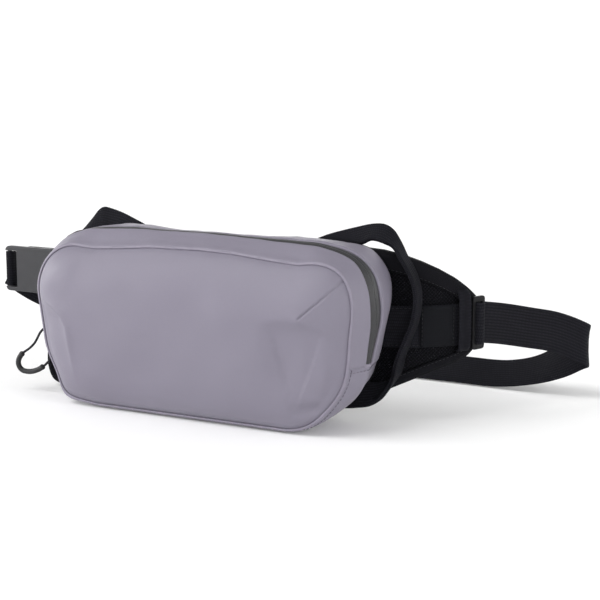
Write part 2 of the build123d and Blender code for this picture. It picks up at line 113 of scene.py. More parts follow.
# ---------------------------------------------------------------- materials
class Shade:
    """A procedural material under construction."""

    def __init__(self, name, **shader):
        self.mat = bpy.data.materials.new(name)
        self.mat.use_nodes = True
        self.tree = self.mat.node_tree
        self.bsdf = self.tree.nodes["Principled BSDF"]
        for key, value in shader.items():
            self.bsdf.inputs[key.replace("_", " ")].default_value = value

    def add(self, kind, inputs=None, out=0, **settings):
        """A node with its settings and inputs; returns one of its outputs."""
        made = self.tree.nodes.new("ShaderNode" + kind)
        for key, value in settings.items():
            setattr(made, key, value)
        for key, value in (inputs or {}).items():
            if isinstance(value, bpy.types.NodeSocket):
                self.tree.links.new(value, made.inputs[key])
            else:
                made.inputs[key].default_value = value
        return made.outputs[out]

    def math(self, operation, *values):
        return self.add("Math", dict(enumerate(values)), operation=operation)

    def plus(self, a, b):
        return self.math("ADD", a, b)

    def times(self, a, b):
        return self.math("MULTIPLY", a, b)

    def place(self, kind="Object"):
        return self.add("TexCoord", out=("Generated", "Normal", "UV", "Object").index(kind))

    def noise(self, scale, detail=2.0):
        return self.add("TexNoise", {"Vector": self.place(), "Scale": scale, "Detail": detail})

    def span(self, value, low=0.0, high=1.0):
        """A value held between 0 and 1, spread over low to high."""
        return self.add("MapRange", {0: value, 3: low, 4: high})

    def mix(self, share, *colours):
        """A blend of two colours: each is a socket, or linear red, green and blue."""
        a, b = (c if isinstance(c, bpy.types.NodeSocket) else (*c, 1) for c in colours)
        return self.add("Mix", {0: share, 6: a, 7: b}, out=2, data_type="RGBA")

    def axes(self, kind="Object"):
        return self.add("SeparateXYZ", {0: self.place(kind)}).node.outputs

    def wave(self, value, pitch, phase=0.0):
        """A sine of a length in metres, from -1 to 1, with that pitch in millimetres."""
        return self.math("SINE", self.math("MULTIPLY_ADD", value, 2 * pi / (pitch * MM), phase))

    def finish(self, colour, rough, height, depth, strength=1.0):
        """Links colour, roughness and a bump of that depth in millimetres."""
        bump = self.add("Bump", {"Height": height, "Distance": depth * MM, "Strength": strength})
        for key, value in (("Base Color", colour), ("Roughness", rough), ("Normal", bump)):
            self.tree.links.new(value, self.bsdf.inputs[key])
        return self.mat


def coated_fabric():
    """Mauve coated cloth: a satin film over a fine plain weave, with faint creases and rubbing."""
    s = Shade("coated_fabric", Specular_IOR_Level=0.40, Sheen_Weight=0.05, Sheen_Roughness=0.45)
    x, y, z = s.axes()
    weave = s.times(s.wave(s.plus(x, y), 0.62), s.wave(z, 0.62))
    cloud = s.noise(7.0, 3.0)
    grain = s.noise(900.0, 3.0)
    colour = s.mix(s.span(cloud, 0.1, 0.9), (0.171, 0.152, 0.203), (0.184, 0.174, 0.216))
    rubbed = s.mix(s.span(grain, 0.0, 0.35), colour, (0.211, 0.197, 0.24))
    rough = s.span(s.noise(32.0, 4.0), 0.40, 0.60)
    height = s.plus(s.times(weave, 0.22), s.times(grain, 0.9))
    return s.finish(rubbed, rough, height, 0.10, 0.55)


def welt_fabric_painted_highlight():
    """The same cloth where it is rolled round the piping, with short puckers; its colour is painted paler
    than the panel's, a painted highlight along the welt.
    """
    s = Shade("welt_fabric_painted_highlight", Specular_IOR_Level=0.45)
    grain = s.noise(700.0, 3.0)
    pucker = s.noise(160.0, 2.0)
    # the paler pair of colours is painted highlight: the welt's lit edge drawn into its colour
    colour = s.mix(s.span(pucker, 0.0, 0.8), (0.185, 0.167, 0.217), (0.24, 0.222, 0.272))
    height = s.plus(s.times(grain, 0.3), pucker)
    return s.finish(colour, s.span(grain, 0.40, 0.58), height, 0.25, 0.5)


def webbing(name, tone, rib=1.45, column=2.3):
    """Woven webbing: picks along the band in staggered columns, in the band's own UV in metres."""
    s = Shade(name, Specular_IOR_Level=0.06, Sheen_Weight=0.01, Sheen_Roughness=0.5)
    u, v, _ = s.axes("UV")
    columns = s.math("FLOOR", s.math("DIVIDE", v, column * MM))
    picks = s.wave(u, rib, s.times(columns, pi))
    body = s.math("ABSOLUTE", s.wave(v, 2 * column))
    height = s.times(s.span(picks, 0.35, 1.0), body)
    fuzz = s.noise(1400.0, 3.0)
    worn = s.span(s.noise(40.0, 4.0))
    tones = (0.0052, 0.0052, 0.0072), (0.02, 0.02, 0.026)
    dark, pale = ([c * tone for c in rgb] for rgb in tones)
    colour = s.mix(s.times(height, s.span(worn, 0.55, 1.0)), dark, pale)
    total = s.plus(height, s.times(fuzz, 0.25))
    return s.finish(colour, s.span(fuzz, 0.55, 0.85), total, 0.35, 0.8)


def spacer_mesh():
    """Diamond mesh: raised cords round dark diamond openings, in the piece's UV in metres."""
    s = Shade("spacer_mesh", Specular_IOR_Level=0.05, Sheen_Weight=0.01, Sheen_Roughness=0.5)
    u, v, _ = s.axes("UV")
    one = s.math("ABSOLUTE", s.wave(s.plus(u, v), 5.6))
    two = s.math("ABSOLUTE", s.wave(s.math("SUBTRACT", u, v), 5.6))
    hole = s.math("POWER", s.times(one, two), 0.8)
    fuzz = s.noise(1500.0, 3.0)
    height = s.math("SUBTRACT", 1.0, hole)
    colour = s.mix(s.span(height), (0.0014, 0.0014, 0.002), (0.009, 0.009, 0.0118))
    total = s.plus(height, s.times(fuzz, 0.15))
    return s.finish(colour, s.span(fuzz, 0.6, 0.9), total, 0.9, 0.9)


def plain_cloth(name, dark, pale, pitch, rough=(0.6, 0.85), depth=0.12):
    """Plain woven cloth with slightly uneven dye and a fuzzy hand."""
    s = Shade(name, Specular_IOR_Level=0.06, Sheen_Weight=0.01, Sheen_Roughness=0.5)
    x, y, z = s.axes()
    weave = s.times(s.wave(s.plus(x, y), pitch), s.wave(z, pitch))
    fuzz = s.noise(1200.0, 3.0)
    share = s.span(s.plus(weave, fuzz), -0.4, 0.9)
    height = s.plus(weave, s.times(fuzz, 0.6))
    return s.finish(s.mix(share, dark, pale), s.span(fuzz, *rough), height, depth, 0.6)


def moulded(name, dark, pale, rough, grain=2200.0, metallic=0.0, depth=0.03, gloss=0.35):
    """Moulded plastic or painted metal: a spark-eroded grain, with handling marks in the gloss."""
    s = Shade(name, Specular_IOR_Level=gloss, Metallic=metallic)
    fine = s.noise(grain, 2.0)
    marks = s.noise(90.0, 5.0)
    colour = s.mix(s.span(marks), dark, pale)
    uneven = s.plus(s.times(fine, 0.12), s.times(marks, 0.18))
    return s.finish(colour, s.plus(uneven, rough - 0.15), fine, depth, 0.7)


def zip_film():
    """The zip tape's dark satin film, with the ribs of the coil pressing through."""
    s = Shade("zip_film", Specular_IOR_Level=0.36)
    ribs = s.wave(s.axes("UV")[0], 1.5)
    grain = s.noise(1100.0, 2.0)
    colour = s.mix(s.span(grain), (0.022, 0.022, 0.024), (0.04, 0.04, 0.043))
    height = s.plus(s.times(ribs, 0.35), s.times(grain, 0.5))
    return s.finish(colour, s.span(grain, 0.30, 0.48), height, 0.08, 0.5)


def thread(name, dark, pale):
    """Twisted sewing thread."""
    s = Shade(name, Specular_IOR_Level=0.2, Sheen_Weight=0.03)
    x, y, z = s.axes()
    ply = s.wave(s.plus(s.plus(x, y), z), 0.5)
    return s.finish(s.mix(s.span(ply), dark, pale), s.span(ply, 0.5, 0.7), ply, 0.06)


def braid():
    """Braided cord: two crossing families of strands round the cord."""
    s = Shade("braid", Specular_IOR_Level=0.2, Sheen_Weight=0.03)
    x, y, z = s.axes()
    one = s.wave(s.plus(s.plus(x, y), z), 1.1)
    two = s.wave(s.math("SUBTRACT", s.plus(y, z), x), 1.1)
    height = s.math("MAXIMUM", one, two)
    fuzz = s.noise(1500.0, 2.0)
    colour = s.mix(s.span(height), (0.004, 0.004, 0.006), (0.019, 0.019, 0.024))
    return s.finish(colour, s.span(fuzz, 0.55, 0.8), height, 0.15, 0.8)


COATED = coated_fabric()
WELT_PAINTED_HIGHLIGHT = welt_fabric_painted_highlight()
WEBBING = webbing("webbing", 1.0)
KEEPER_WEB = webbing("keeper_webbing", 1.25, rib=2.6, column=40.0)
TAPE_CLOTH = plain_cloth("binding_tape", (0.0036, 0.0036, 0.0047), (0.0094, 0.0094, 0.012), 0.8)
BACK_CLOTH = plain_cloth("back_fabric", (0.004, 0.004, 0.0055), (0.01, 0.01, 0.013), 0.45)
LINING_CLOTH = plain_cloth("lining", (0.12, 0.12, 0.13), (0.18, 0.18, 0.19), 0.4)
MESH = spacer_mesh()
ZIP_FILM = zip_film()
COIL = moulded("zip_coil", (0.03, 0.03, 0.033), (0.055, 0.055, 0.06), 0.42)
PATCH_TONES = (0.0045, 0.0048, 0.0065), (0.0075, 0.008, 0.0102)
PATCH = plain_cloth("smooth_patch", *PATCH_TONES, 0.35, (0.45, 0.6), 0.05)
BUCKLE = moulded("buckle_plastic", (0.021, 0.021, 0.024), (0.035, 0.035, 0.039), 0.44)
ADJUSTER = moulded(
    "adjuster_plastic", (0.004, 0.004, 0.005), (0.009, 0.009, 0.01), 0.42, gloss=0.16
)
SLIDER = moulded("slider_metal", (0.03, 0.03, 0.033), (0.055, 0.055, 0.06), 0.34, 1500.0, 0.6)
MAGNET = moulded("magnet", (0.42, 0.42, 0.43), (0.56, 0.56, 0.57), 0.30, 900.0, 1.0)
STIFFENER = moulded("stiffener", (0.03, 0.03, 0.032), (0.055, 0.055, 0.058), 0.50, 600.0)
RUBBER = moulded("grip_rubber", (0.008, 0.008, 0.009), (0.02, 0.02, 0.022), 0.52, 1600.0, 0.0, 0.05)
BRAID = braid()
THREAD = thread("pouch_thread", (0.09, 0.079, 0.11), (0.15, 0.135, 0.176))
BLACK_THREAD = thread("black_thread", (0.008, 0.008, 0.01), (0.026, 0.026, 0.031))


# ---------------------------------------------------------------- meshes
def mesh_piece(name, verts, faces, materials, uv=None):
    """A mesh object from millimetre points. uv gives a vertex's texture place in metres."""
    mesh = bpy.data.meshes.new(name)
    mesh.from_pydata([tuple(float(c) * MM for c in v) for v in verts], [], faces)
    for material in materials if isinstance(materials, list) else [materials]:
        mesh.materials.append(material)
    if uv is not None:
        layer = mesh.uv_layers.new(name="cloth")
        for loop in mesh.loops:
            layer.data[loop.index].uv = [float(c) for c in uv[loop.vertex_index]]
    mesh.polygons.foreach_set("use_smooth", [True] * len(mesh.polygons))
    mesh.update()
    piece = bpy.data.objects.new(name, mesh)
    bpy.context.scene.collection.objects.link(piece)
    return piece


def grid_faces(rows, columns, closed_rows=False, closed_columns=False, start=0):
    """Quads of a grid of points stored row by row."""
    faces = []
    for i in range(rows if closed_rows else rows - 1):
        for j in range(columns if closed_columns else columns - 1):
            a, b = i * columns, ((i + 1) % rows) * columns
            k = (j + 1) % columns
            faces.append((start + a + j, start + a + k, start + b + k, start + b + j))
    return faces


def capped(rows, columns, start=0):
    """Quads round a tube of points stored row by row, and a face over each of its ends."""
    last = start + (rows - 1) * columns
    faces = grid_faces(rows, columns, closed_columns=True, start=start)
    faces.append(tuple(start + k for k in reversed(range(columns))))
    faces.append(tuple(last + k for k in range(columns)))
    return faces


@contextmanager
def editing(piece):
    """A piece's mesh opened for bmesh, and written back at the end."""
    bm = bmesh.new()
    bm.from_mesh(piece.data)
    yield bm
    bm.to_mesh(piece.data)
    bm.free()


def facing(piece, axis, sign):
    """Turns a sheet over if it doesn't look to that end of the axis."""
    with editing(piece) as bm:
        bm.normal_update()
        if sum(face.normal[axis] for face in bm.faces) * sign < 0:
            bmesh.ops.reverse_faces(bm, faces=bm.faces)


def modified(piece, kind, **settings):
    """Adds a modifier and applies it, so that the mesh itself is final."""
    modifier = piece.modifiers.new(kind.lower(), kind)
    for key, value in settings.items():
        setattr(modifier, key, value)
    graph = bpy.context.evaluated_depsgraph_get()
    mesh = bpy.data.meshes.new_from_object(
        piece.evaluated_get(graph), preserve_all_data_layers=True, depsgraph=graph
    )
    piece.modifiers.remove(modifier)
    piece.data = mesh
    return piece


def thicken(piece, thick):
    """Gives a sheet its thickness in millimetres, on the side away from its normals."""
    return modified(piece, "SOLIDIFY", thickness=thick * MM, offset=-1.0)


def settle(piece, body, slot, *stood_for):
    """Puts a finished piece on its body and hides the CAD nodes that it stands for; its slot, the name of
    its finish, is not used.
    """
    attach(piece, body)
    if stood_for:
        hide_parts(*stood_for)
    return piece


def through(rows, step):
    """A smooth line through given rows, sampled about every step. The first three columns are a place, or
    the first six the two edges of a band."""
    p = np.array(rows, float)
    place = (p[:, :3] + p[:, 3:6]) / 2 if p.shape[1] >= 6 else p[:, :3]
    gap = np.maximum(np.linalg.norm(np.diff(place, axis=0), axis=1), 1e-6)
    slope = np.diff(p, axis=0) / gap[:, None]
    tangent = np.empty_like(p)
    tangent[0], tangent[-1] = slope[0], slope[-1]
    before, after = gap[:-1, None], gap[1:, None]
    tangent[1:-1] = (slope[:-1] * after + slope[1:] * before) / (before + after)
    out = []
    for i, length in enumerate(gap):
        count = max(1, int(round(length / step)))
        for t in np.arange(count) / count:
            out.append(
                (2 * t**3 - 3 * t**2 + 1) * p[i]
                + (t**3 - 2 * t**2 + t) * length * tangent[i]
                + (3 * t**2 - 2 * t**3) * p[i + 1]
                + (t**3 - t**2) * length * tangent[i + 1]
            )
    return np.array([*out, p[-1]])


def unit(v):
    v = np.asarray(v, float)
    return v / np.maximum(np.linalg.norm(v, axis=-1, keepdims=True), 1e-9)


def smoothstep(low, high, value):
    t = np.clip((np.asarray(value, float) - low) / (high - low), 0, 1)
    return t * t * (3 - 2 * t)


def travelled(points):
    """How far along a line each of its points is."""
    return np.concatenate([[0], np.cumsum(np.linalg.norm(np.diff(points, axis=0), axis=1))])


def at_spots(spots, gone, points):
    """The line's points at those distances along it."""
    return np.stack([np.interp(spots, gone, column) for column in points.T], axis=-1)


# half of a webbing's section, with thin rounded selvedges: across, and off the middle
SELVEDGE = ((0.5, 0.0), (0.497, 0.32), (0.47, 0.5), (0.3, 0.5), (0.1, 0.5))


def band_section(width, thick):
    """Points round a webbing's section: across, and off the middle."""
    top = [(-a * width, b * thick) for a, b in SELVEDGE]
    top += [(-a, b) for a, b in reversed(top)]
    return top + [(a, -b) for a, b in reversed(top[1:-1])]


def band(name, edges, thick, material, step=3.0, layers=1):
    """Webbing between two edge lines. Each row holds a point on each edge, and layers lie face to
    face."""
    rows = through(edges, step)
    a, b = rows[:, :3], rows[:, 3:6]
    middle = (a + b) / 2
    along = unit(np.gradient(middle, axis=0))
    across = a - b
    width = np.linalg.norm(across, axis=1)
    across = unit(across)
    normal = unit(np.cross(along, across))
    length = travelled(middle)
    verts, faces, uv = [], [], []
    each = thick / layers
    for layer in range(layers):
        shift = (layer - (layers - 1) / 2) * each
        start = len(verts)
        for i in range(len(rows)):
            section = band_section(width[i], each * 0.94)
            for s, n in section:
                verts.append(middle[i] + across[i] * s + normal[i] * (shift + n))
                uv.append((length[i] * MM, s * MM))
        faces += capped(len(rows), len(section), start)
    return mesh_piece(name, verts, faces, material, uv)


def stitches(name, lines, material, pitch=3.4, length=2.5, radius=0.26):
    """Rows of running stitches, each a short plump thread. A line is points and their normals."""
    verts, faces = [], []
    for points, normals in lines:
        points, normals = np.array(points, float), np.array(normals, float)
        gone = travelled(points)
        for k in range(int(gone[-1] / pitch)):
            spots = (k + 0.5) * pitch + np.array([-0.5, -0.32, 0, 0.32, 0.5]) * length
            middle, up = at_spots(spots, gone, points), unit(at_spots(spots[2], gone, normals))
            along = unit(middle[-1] - middle[0])
            side = np.cross(along, up)
            start = len(verts)
            for spot, girth in zip(middle, (0.15, 0.85, 1.0, 0.85, 0.15)):
                for turn in range(5):
                    angle = turn * 2 * pi / 5
                    lift = up * (sin(angle) * radius * girth + radius * (1.4 * girth - 0.9))
                    verts.append(spot + side * cos(angle) * radius * girth + lift)
            faces += capped(5, 5, start)
    return mesh_piece(name, verts, faces, material)


def tube(points, radii, sides=12):
    """Points and faces of a round tube along a line in millimetres, closed at both ends."""
    points = np.array(points, float)
    along = unit(np.gradient(points, axis=0))
    side = unit(np.cross(along[0], (0, 1, 0.2)))
    verts = []
    for i, p in enumerate(points):
        side = unit(side - along[i] * float(side @ along[i]))
        up = np.cross(along[i], side)
        for k in range(sides):
            angle = 2 * pi * k / sides
            verts.append(p + (side * cos(angle) + up * sin(angle)) * radii[i])
    return verts, capped(len(points), sides)


# ---------------------------------------------------------------- zip pull cord
# the route of the cord's CAD tube
PULL = (
    (-148.65, -6.3, 56.1),
    (-148.8, -9, 56),
    (-153, -9.4, 52.3),
    (-156.6, -8.6, 47),
    (-161, -7.6, 41.2),
    (-167.5, -6.8, 36),
    (-175.8, -6.2, 31.2),
    (-180.5, -6, 23.6),
    (-177.2, -5.9, 17),
    (-168.6, -5.8, 16.2),
    (-159.8, -5.6, 18.7),
    (-152.8, -5.2, 23.3),
    (-147.4, -4.8, 28.6),
    (-146.2, -4, 35.8),
    (-146.7, -3.2, 44),
    (-148.3, -2.8, 51.8),
    (-148.8, -3, 56.2),
    (-148.65, -5.7, 56.1),
)
line = bpy.data.curves.new("pull_cord_line", "CURVE")
line.dimensions = "3D"
spline = line.splines.new("NURBS")
spline.points.add(len(PULL) - 1)
for point, place in zip(spline.points, PULL):
    point.co = (*(c * MM for c in place), 1)
spline.order_u = 3
spline.use_endpoint_u = True
spline.resolution_u = 10
pull_cord = bpy.data.objects.new("zip_pull_cord", line)
bpy.context.scene.collection.objects.link(pull_cord)
centre = bpy.data.meshes.new_from_object(pull_cord)
route = np.array([v.co for v in centre.vertices]) / MM
bpy.data.meshes.remove(centre)
line.bevel_depth = 1.0 * MM
line.bevel_resolution = 4
line.use_fill_caps = True
line.materials.append(BRAID)

# the moulded tube slides on the bottom of the loop, with a rounded lip and a collar at each end
GRIP_FROM, GRIP_TO = 0.315, 0.675
GRIP_BORE, GRIP_R = 1.15, 2.2
gone = travelled(route)
spots = np.linspace(GRIP_FROM * gone[-1], GRIP_TO * gone[-1], 60)
grip_line = at_spots(spots, gone, route)
from_end = np.minimum(spots - spots[0], spots[-1] - spots)
lip = np.sqrt(np.clip(from_end / 1.2, 0.0, 1.0))
collar = 0.22 * np.exp(-(((from_end - 1.9) / 0.8) ** 2))
grip_radii = GRIP_BORE + (GRIP_R - GRIP_BORE) * lip + collar
pull_grip = mesh_piece("zip_pull_grip", *tube(grip_line, grip_radii, 16), RUBBER)

settle(pull_cord, "pull", "cord", "pull_cord")
settle(pull_grip, "pull", "grip", "pull_grip")
tuple(c * MM for c in PULL[0])

# ---------------------------------------------------------------- pouch outline
Outline = namedtuple("Outline", "y half_top half_bottom z_top z_bottom r_top r_bottom")
WELT = Outline(-26, 147, 128, 131, 7, 40, 54)
ZIP = Outline(-6, 160, 133, 142, 0, 55, 58)
REAR = Outline(27, 154, 123, 140, 0, 39, 56)
CROWN = 16.0
ZIP_END = {1: 54.0, -1: 45.0}
TAB_FOOT = 20.0


def outline_at(y):
    near, far = (WELT, ZIP) if y <= ZIP.y else (ZIP, REAR)
    share = (y - near.y) / (far.y - near.y)
    return Outline(*(a + (b - a) * share for a, b in zip(near, far)))


def ring(o, inset=0.0, arc=24, straight=40):
    """A dense closed line round an outline, from the middle of the bottom, anticlockwise seen from
    the front, as x and z."""
    corners = [
        (o.half_bottom - inset, o.z_bottom + inset, o.r_bottom - inset),
        (o.half_top - inset, o.z_top - inset, o.r_top - inset),
        (-o.half_top + inset, o.z_top - inset, o.r_top - inset),
        (-o.half_bottom + inset, o.z_bottom + inset, o.r_bottom - inset),
    ]
    points = [np.array((0, o.z_bottom + inset))]
    for i, (x, z, r) in enumerate(corners):
        here = np.array((x, z))
        before = np.array(corners[i - 1][:2])
        after = np.array(corners[(i + 1) % 4][:2])
        into, out = unit(here - before), unit(after - here)
        turn = atan2(into[0] * out[1] - into[1] * out[0], into @ out)
        reach = r * np.tan(turn / 2)
        start, left = here - into * reach, np.array((-into[1], into[0]))
        centre = start + left * r
        last = points[-1]
        points += [last + (start - last) * k / straight for k in range(1, straight)]
        for k in range(arc + 1):
            a = turn * k / arc
            points.append(centre - left * r * cos(a) + into * r * sin(a))
    last = points[-1]
    points += [last + (points[0] - last) * k / straight for k in range(1, straight)]
    return np.array(points)


def rail(y, count, part="loop", cuts=(ZIP_END[1], ZIP_END[-1])):
    """Evenly spaced places round the wall at depth y, with outward normals and the length: the loop,
    the arch with the zip, or the bottom. The last two are cut apart at a height on the right and one
    on the left, and run from right to left."""
    points = ring(outline_at(y))
    if part == "loop":
        points = np.vstack([points, points[:1]])
    else:
        above = points[:, 1] > np.where(points[:, 0] > 0, *cuts)
        first = int(np.argmax(above))
        last = len(above) - 1 - int(np.argmax(above[::-1]))

        def crossing(i, j, cut):
            t = (cut - points[i, 1]) / (points[j, 1] - points[i, 1])
            return points[i] + (points[j] - points[i]) * t

        right, left = crossing(first - 1, first, cuts[0]), crossing(last, last + 1, cuts[1])
        if part == "arch":
            points = np.vstack([right, points[first : last + 1], left])
        else:
            low = np.vstack([points[last + 1 :], points[:first]])
            points = np.vstack([left, low, right])[::-1]
    gone = np.concatenate([[0], np.cumsum(np.hypot(*np.diff(points, axis=0).T))])
    spots = np.linspace(0, gone[-1], count + 1 if part == "loop" else count)
    even = np.stack([np.interp(spots, gone, points[:, c]) for c in range(2)], axis=1)
    if part == "loop":
        even = even[:-1]
        tangent = np.roll(even, -1, axis=0) - np.roll(even, 1, axis=0)
    else:
        tangent = np.gradient(even, axis=0)
    sign = -1.0 if part == "bottom" else 1.0
    normal = unit(np.stack([tangent[:, 1], -tangent[:, 0]], axis=1)) * sign
    return even, normal, gone[-1]


# how far the top of the pouch lifts or sags along its width: at the welt, at the hems on each side
# of the zip, and at the back
WAVE_X = (-150, -128, -107, -85, -60, -33, 12, 41, 71, 95, 110, 128, 150)
WAVES = (
    (-26, (0, -0.4, -1.0, -2.4, -0.6, 1.8, 2.6, 1.6, -1.2, -3.0, -1.2, 0.4, 0)),
    (-12, (0, -0.6, -0.4, 1.4, 2.8, 3.0, 3.2, 2.0, 0.8, -0.4, -0.8, 0.2, 0)),
    (1, (-1, -2.5, -2.6, -0.6, 0.8, -0.6, 0.0, -0.8, -0.6, -0.8, -1.0, 0.4, 0)),
    (27, (-5, -6.5, -5.0, 0.4, 0.2, -2.6, -4.0, -3.2, -1.0, -1.8, -2.6, 0.5, 1.5)),
)


def near(x, z, at_x, at_z, reach):
    """1 at a place on the outline, fading to 0 around it."""
    return np.exp(-((x - at_x) ** 2 + (z - at_z) ** 2) / reach**2)


def soft(points):
    """The pouch's slack: a smooth shift of every point on it, so that its layers stay in order."""
    p = np.array(points, float)
    x, y, z = p[:, 0].copy(), p[:, 1].copy(), p[:, 2].copy()
    lift = np.interp(x, WAVE_X, WAVES[0][1])
    for (y_from, _), (y_to, wave) in zip(WAVES, WAVES[1:]):
        share = smoothstep(y_from, y_to, y)
        lift = lift * (1 - share) + np.interp(x, WAVE_X, wave) * share
    p[:, 2] += lift * smoothstep(70, 122, z)
    # the right side: its front half pulled in, its rear half standing out
    side = smoothstep(95, 132, x) * smoothstep(52, 90, z) * (1 - smoothstep(114, 140, z))
    p[:, 0] -= 2.4 * side * (1 - smoothstep(-13, 1, y))
    p[:, 1] += 4.0 * side * np.exp(-(((y - 1) / 9.0) ** 2))
    # a fuller upper right corner, a lifted lower right rear edge, a pointed lower left corner
    full = near(x, z, 132, 122, 24)
    full = full * (1 - 0.65 * smoothstep(-6, 18, y))
    p[:, 0] += 4.0 * full
    p[:, 2] += 2.5 * full
    lifted = near(x, z, 122, 10, 26) * smoothstep(-24, 8, y)
    p[:, 0] -= 3.0 * lifted
    p[:, 2] += 7.0 * lifted
    corner = near(x, z, -113, 12, 14) * (1 - smoothstep(-20, 15, y))
    p[:, 0] -= 6.0 * corner
    p[:, 2] -= 4.5 * corner * smoothstep(0, 12, z)
    # the front panel sags over its lower seam
    sag = (1 - smoothstep(-26, -6, y)) * (1 - smoothstep(8, 26, z))
    p[:, 2] -= 4.0 * sag
    return p


def wall_side(side, y, count):
    """The pouch's side at depth y, as a function from a height and a stand-off to a place on it and
    its normal."""
    even, normal, _ = rail(y, count, "arch", cuts=(TAB_FOOT, TAB_FOOT))
    keep = even[:, 0] * side > 0
    order = np.argsort(even[keep][:, 1])
    places, outs = even[keep][order], normal[keep][order]

    def at(z, off):
        x, n, m = (np.interp(z, places[:, 1], c) for c in (places[:, 0], outs[:, 0], outs[:, 1]))
        return (x + n * off, y, z + m * off), (n, 0, m)

    return at


def wall_sheet(name, profile, count, part, material, thick, ripple=0.0):
    """A sheet of wall round the pouch. The profile gives depth y and how far it stands off."""
    verts, uv = [], []
    for y, off in profile:
        even, normal, total = rail(y, count, part)
        shift = off + ripple * np.sin(np.arange(len(even)) * 0.37) * np.sin(
            np.arange(len(even)) * 0.113 + y * 0.3
        )
        place = even + normal * shift[:, None]
        for k, (x, z) in enumerate(place):
            verts.append((x, y, z))
            uv.append((total * k / count * MM, y * MM))
    faces = grid_faces(len(profile), len(even), closed_columns=part == "loop")
    return thicken(mesh_piece(name, soft(verts), faces, material, uv), thick)


def wall_roll(name, profile, material, count=360):
    """A closed roll round the pouch, such as piping or a binding: the profile is a closed loop."""
    verts, uv = [], []
    for y, off in profile:
        even, normal, total = rail(y, count)
        for k, (x, z) in enumerate(even + normal * off):
            verts.append((x, y, z))
            uv.append((total * k / count * MM, off * MM))
    faces = grid_faces(len(profile), count, closed_rows=True, closed_columns=True)
    return mesh_piece(name, soft(verts), faces, material, uv)


def wall_line(y, off, part):
    """A line on the wall with its normals, for stitching."""
    even, normal, _ = rail(y, 400, part)
    place = even + normal * off
    points = soft(np.stack([place[:, 0], np.full(len(place), y), place[:, 1]], axis=1))
    return points, np.stack([normal[:, 0], np.zeros(len(place)), normal[:, 1]], axis=1)


# ---------------------------------------------------------------- front panel
# hollows and soft ridges: a line on the panel as x and z, how far it stands out, and its half width
SWELLS = (
    (((92, 44), (104, 39), (114, 42)), -5.0, 24.0),
    (((101, 22.5), (112, 23.5), (119, 22.0)), -2.4, 3.0),
    (((-96, 44), (-60, 34), (-20, 40)), -1.3, 16.0),
    (((-90, 118), (-30, 122), (40, 121), (96, 116)), -0.9, 9.0),
    (((-60, 30), (0, 26), (50, 30)), -0.7, 14.0),
    (((96, 100), (74, 95), (40, 88)), 1.6, 15.0),
    (((126, 50), (119, 32)), 1.6, 8.0),
    (((108, 14), (96, 13)), 1.0, 6.0),
)
# creases: a line, how steeply the panel falls away on its left and right, and how far that reaches
LEFT_FOLD = (
    (-144, 91), (-131, 86), (-119, 81), (-109, 75), (-104, 66), (-102, 50), (-99, 32), (-97, 14),
)
RIGHT_FOLD = ((64, 83), (78, 87.5), (93, 89.5), (108, 88.5), (123, 84), (137, 76.5))
CREASES = ((LEFT_FOLD, 0.32, 0.62, 13.0), (RIGHT_FOLD, 0.05, 0.50, 17.0))
DART = ((133.0, 119.0), (126.4, 110.8), (116, 101.4), (104.5, 92.0))


def runs(points, line):
    """For each run of a line: the run, and how far along it, off it and away each point is."""
    for a, b in zip(line, line[1:]):
        a, run = np.array(a, float), np.array(b, float) - np.array(a, float)
        t = np.clip(((points - a) @ run) / (run @ run), 0, 1)
        off = points - a - t[:, None] * run
        yield run, t, off, np.linalg.norm(off, axis=1)


def to_line(points, line):
    """The distance of each point from a line of points."""
    return np.min([far for _, _, _, far in runs(points, line)], axis=0)


def creased(points, line, left, right, reach):
    """How far the panel falls away from a crease, which fades out at both of its ends."""
    best, side, along = np.full(len(points), 1e9), np.zeros(len(points)), np.zeros(len(points))
    for k, (run, t, off, far) in enumerate(runs(points, line)):
        side = np.where(far < best, run[0] * off[:, 1] - run[1] * off[:, 0], side)
        along = np.where(far < best, (k + t) / (len(line) - 1), along)
        best = np.minimum(best, far)
    ends = smoothstep(0, 0.3, along) * (1 - smoothstep(0.7, 1.0, along))
    return np.where(side > 0, left, right) * best * np.exp(-best / reach) * ends


def crown(inner):
    """How far the front panel stands in front of its seam at a distance from its edge."""
    return (CROWN + 1.6) * (1 - np.exp(-np.maximum(inner - 0.7, 0) / 11.5)) - 1.0


def panel_depth(points, rim):
    """The y of the front panel at x and z places."""
    p = np.array(points, float)
    inner = np.full(len(p), 1e9)
    for k in range(0, len(p), 4000):
        gap = p[k : k + 4000, None, :] - rim[None, :, :]
        inner[k : k + 4000] = np.sqrt((gap**2).sum(2).min(1))
    out = crown(inner)
    fade = smoothstep(1.0, 8.0, inner)
    for way, high, wide in SWELLS:
        out += high * np.exp(-((to_line(p, way) / wide) ** 2)) * fade
    for way, left, right, reach in CREASES:
        out -= creased(p, way, left, right, reach) * fade
    dart = to_line(p, DART)
    out += 0.8 * np.exp(-((dart / 7.0) ** 2)) * fade
    out -= 1.25 * np.exp(-((dart / 0.75) ** 2)) * smoothstep(0.0, 2.0, inner)
    out += 0.5 * np.sin(p[:, 0] * 0.043 + 0.6) * np.sin(p[:, 1] * 0.051 + 1.1) * fade
    out += 0.25 * np.sin(p[:, 0] * 0.11) * np.sin(p[:, 1] * 0.09 + 2.0) * fade
    return WELT.y - 0.4 - out


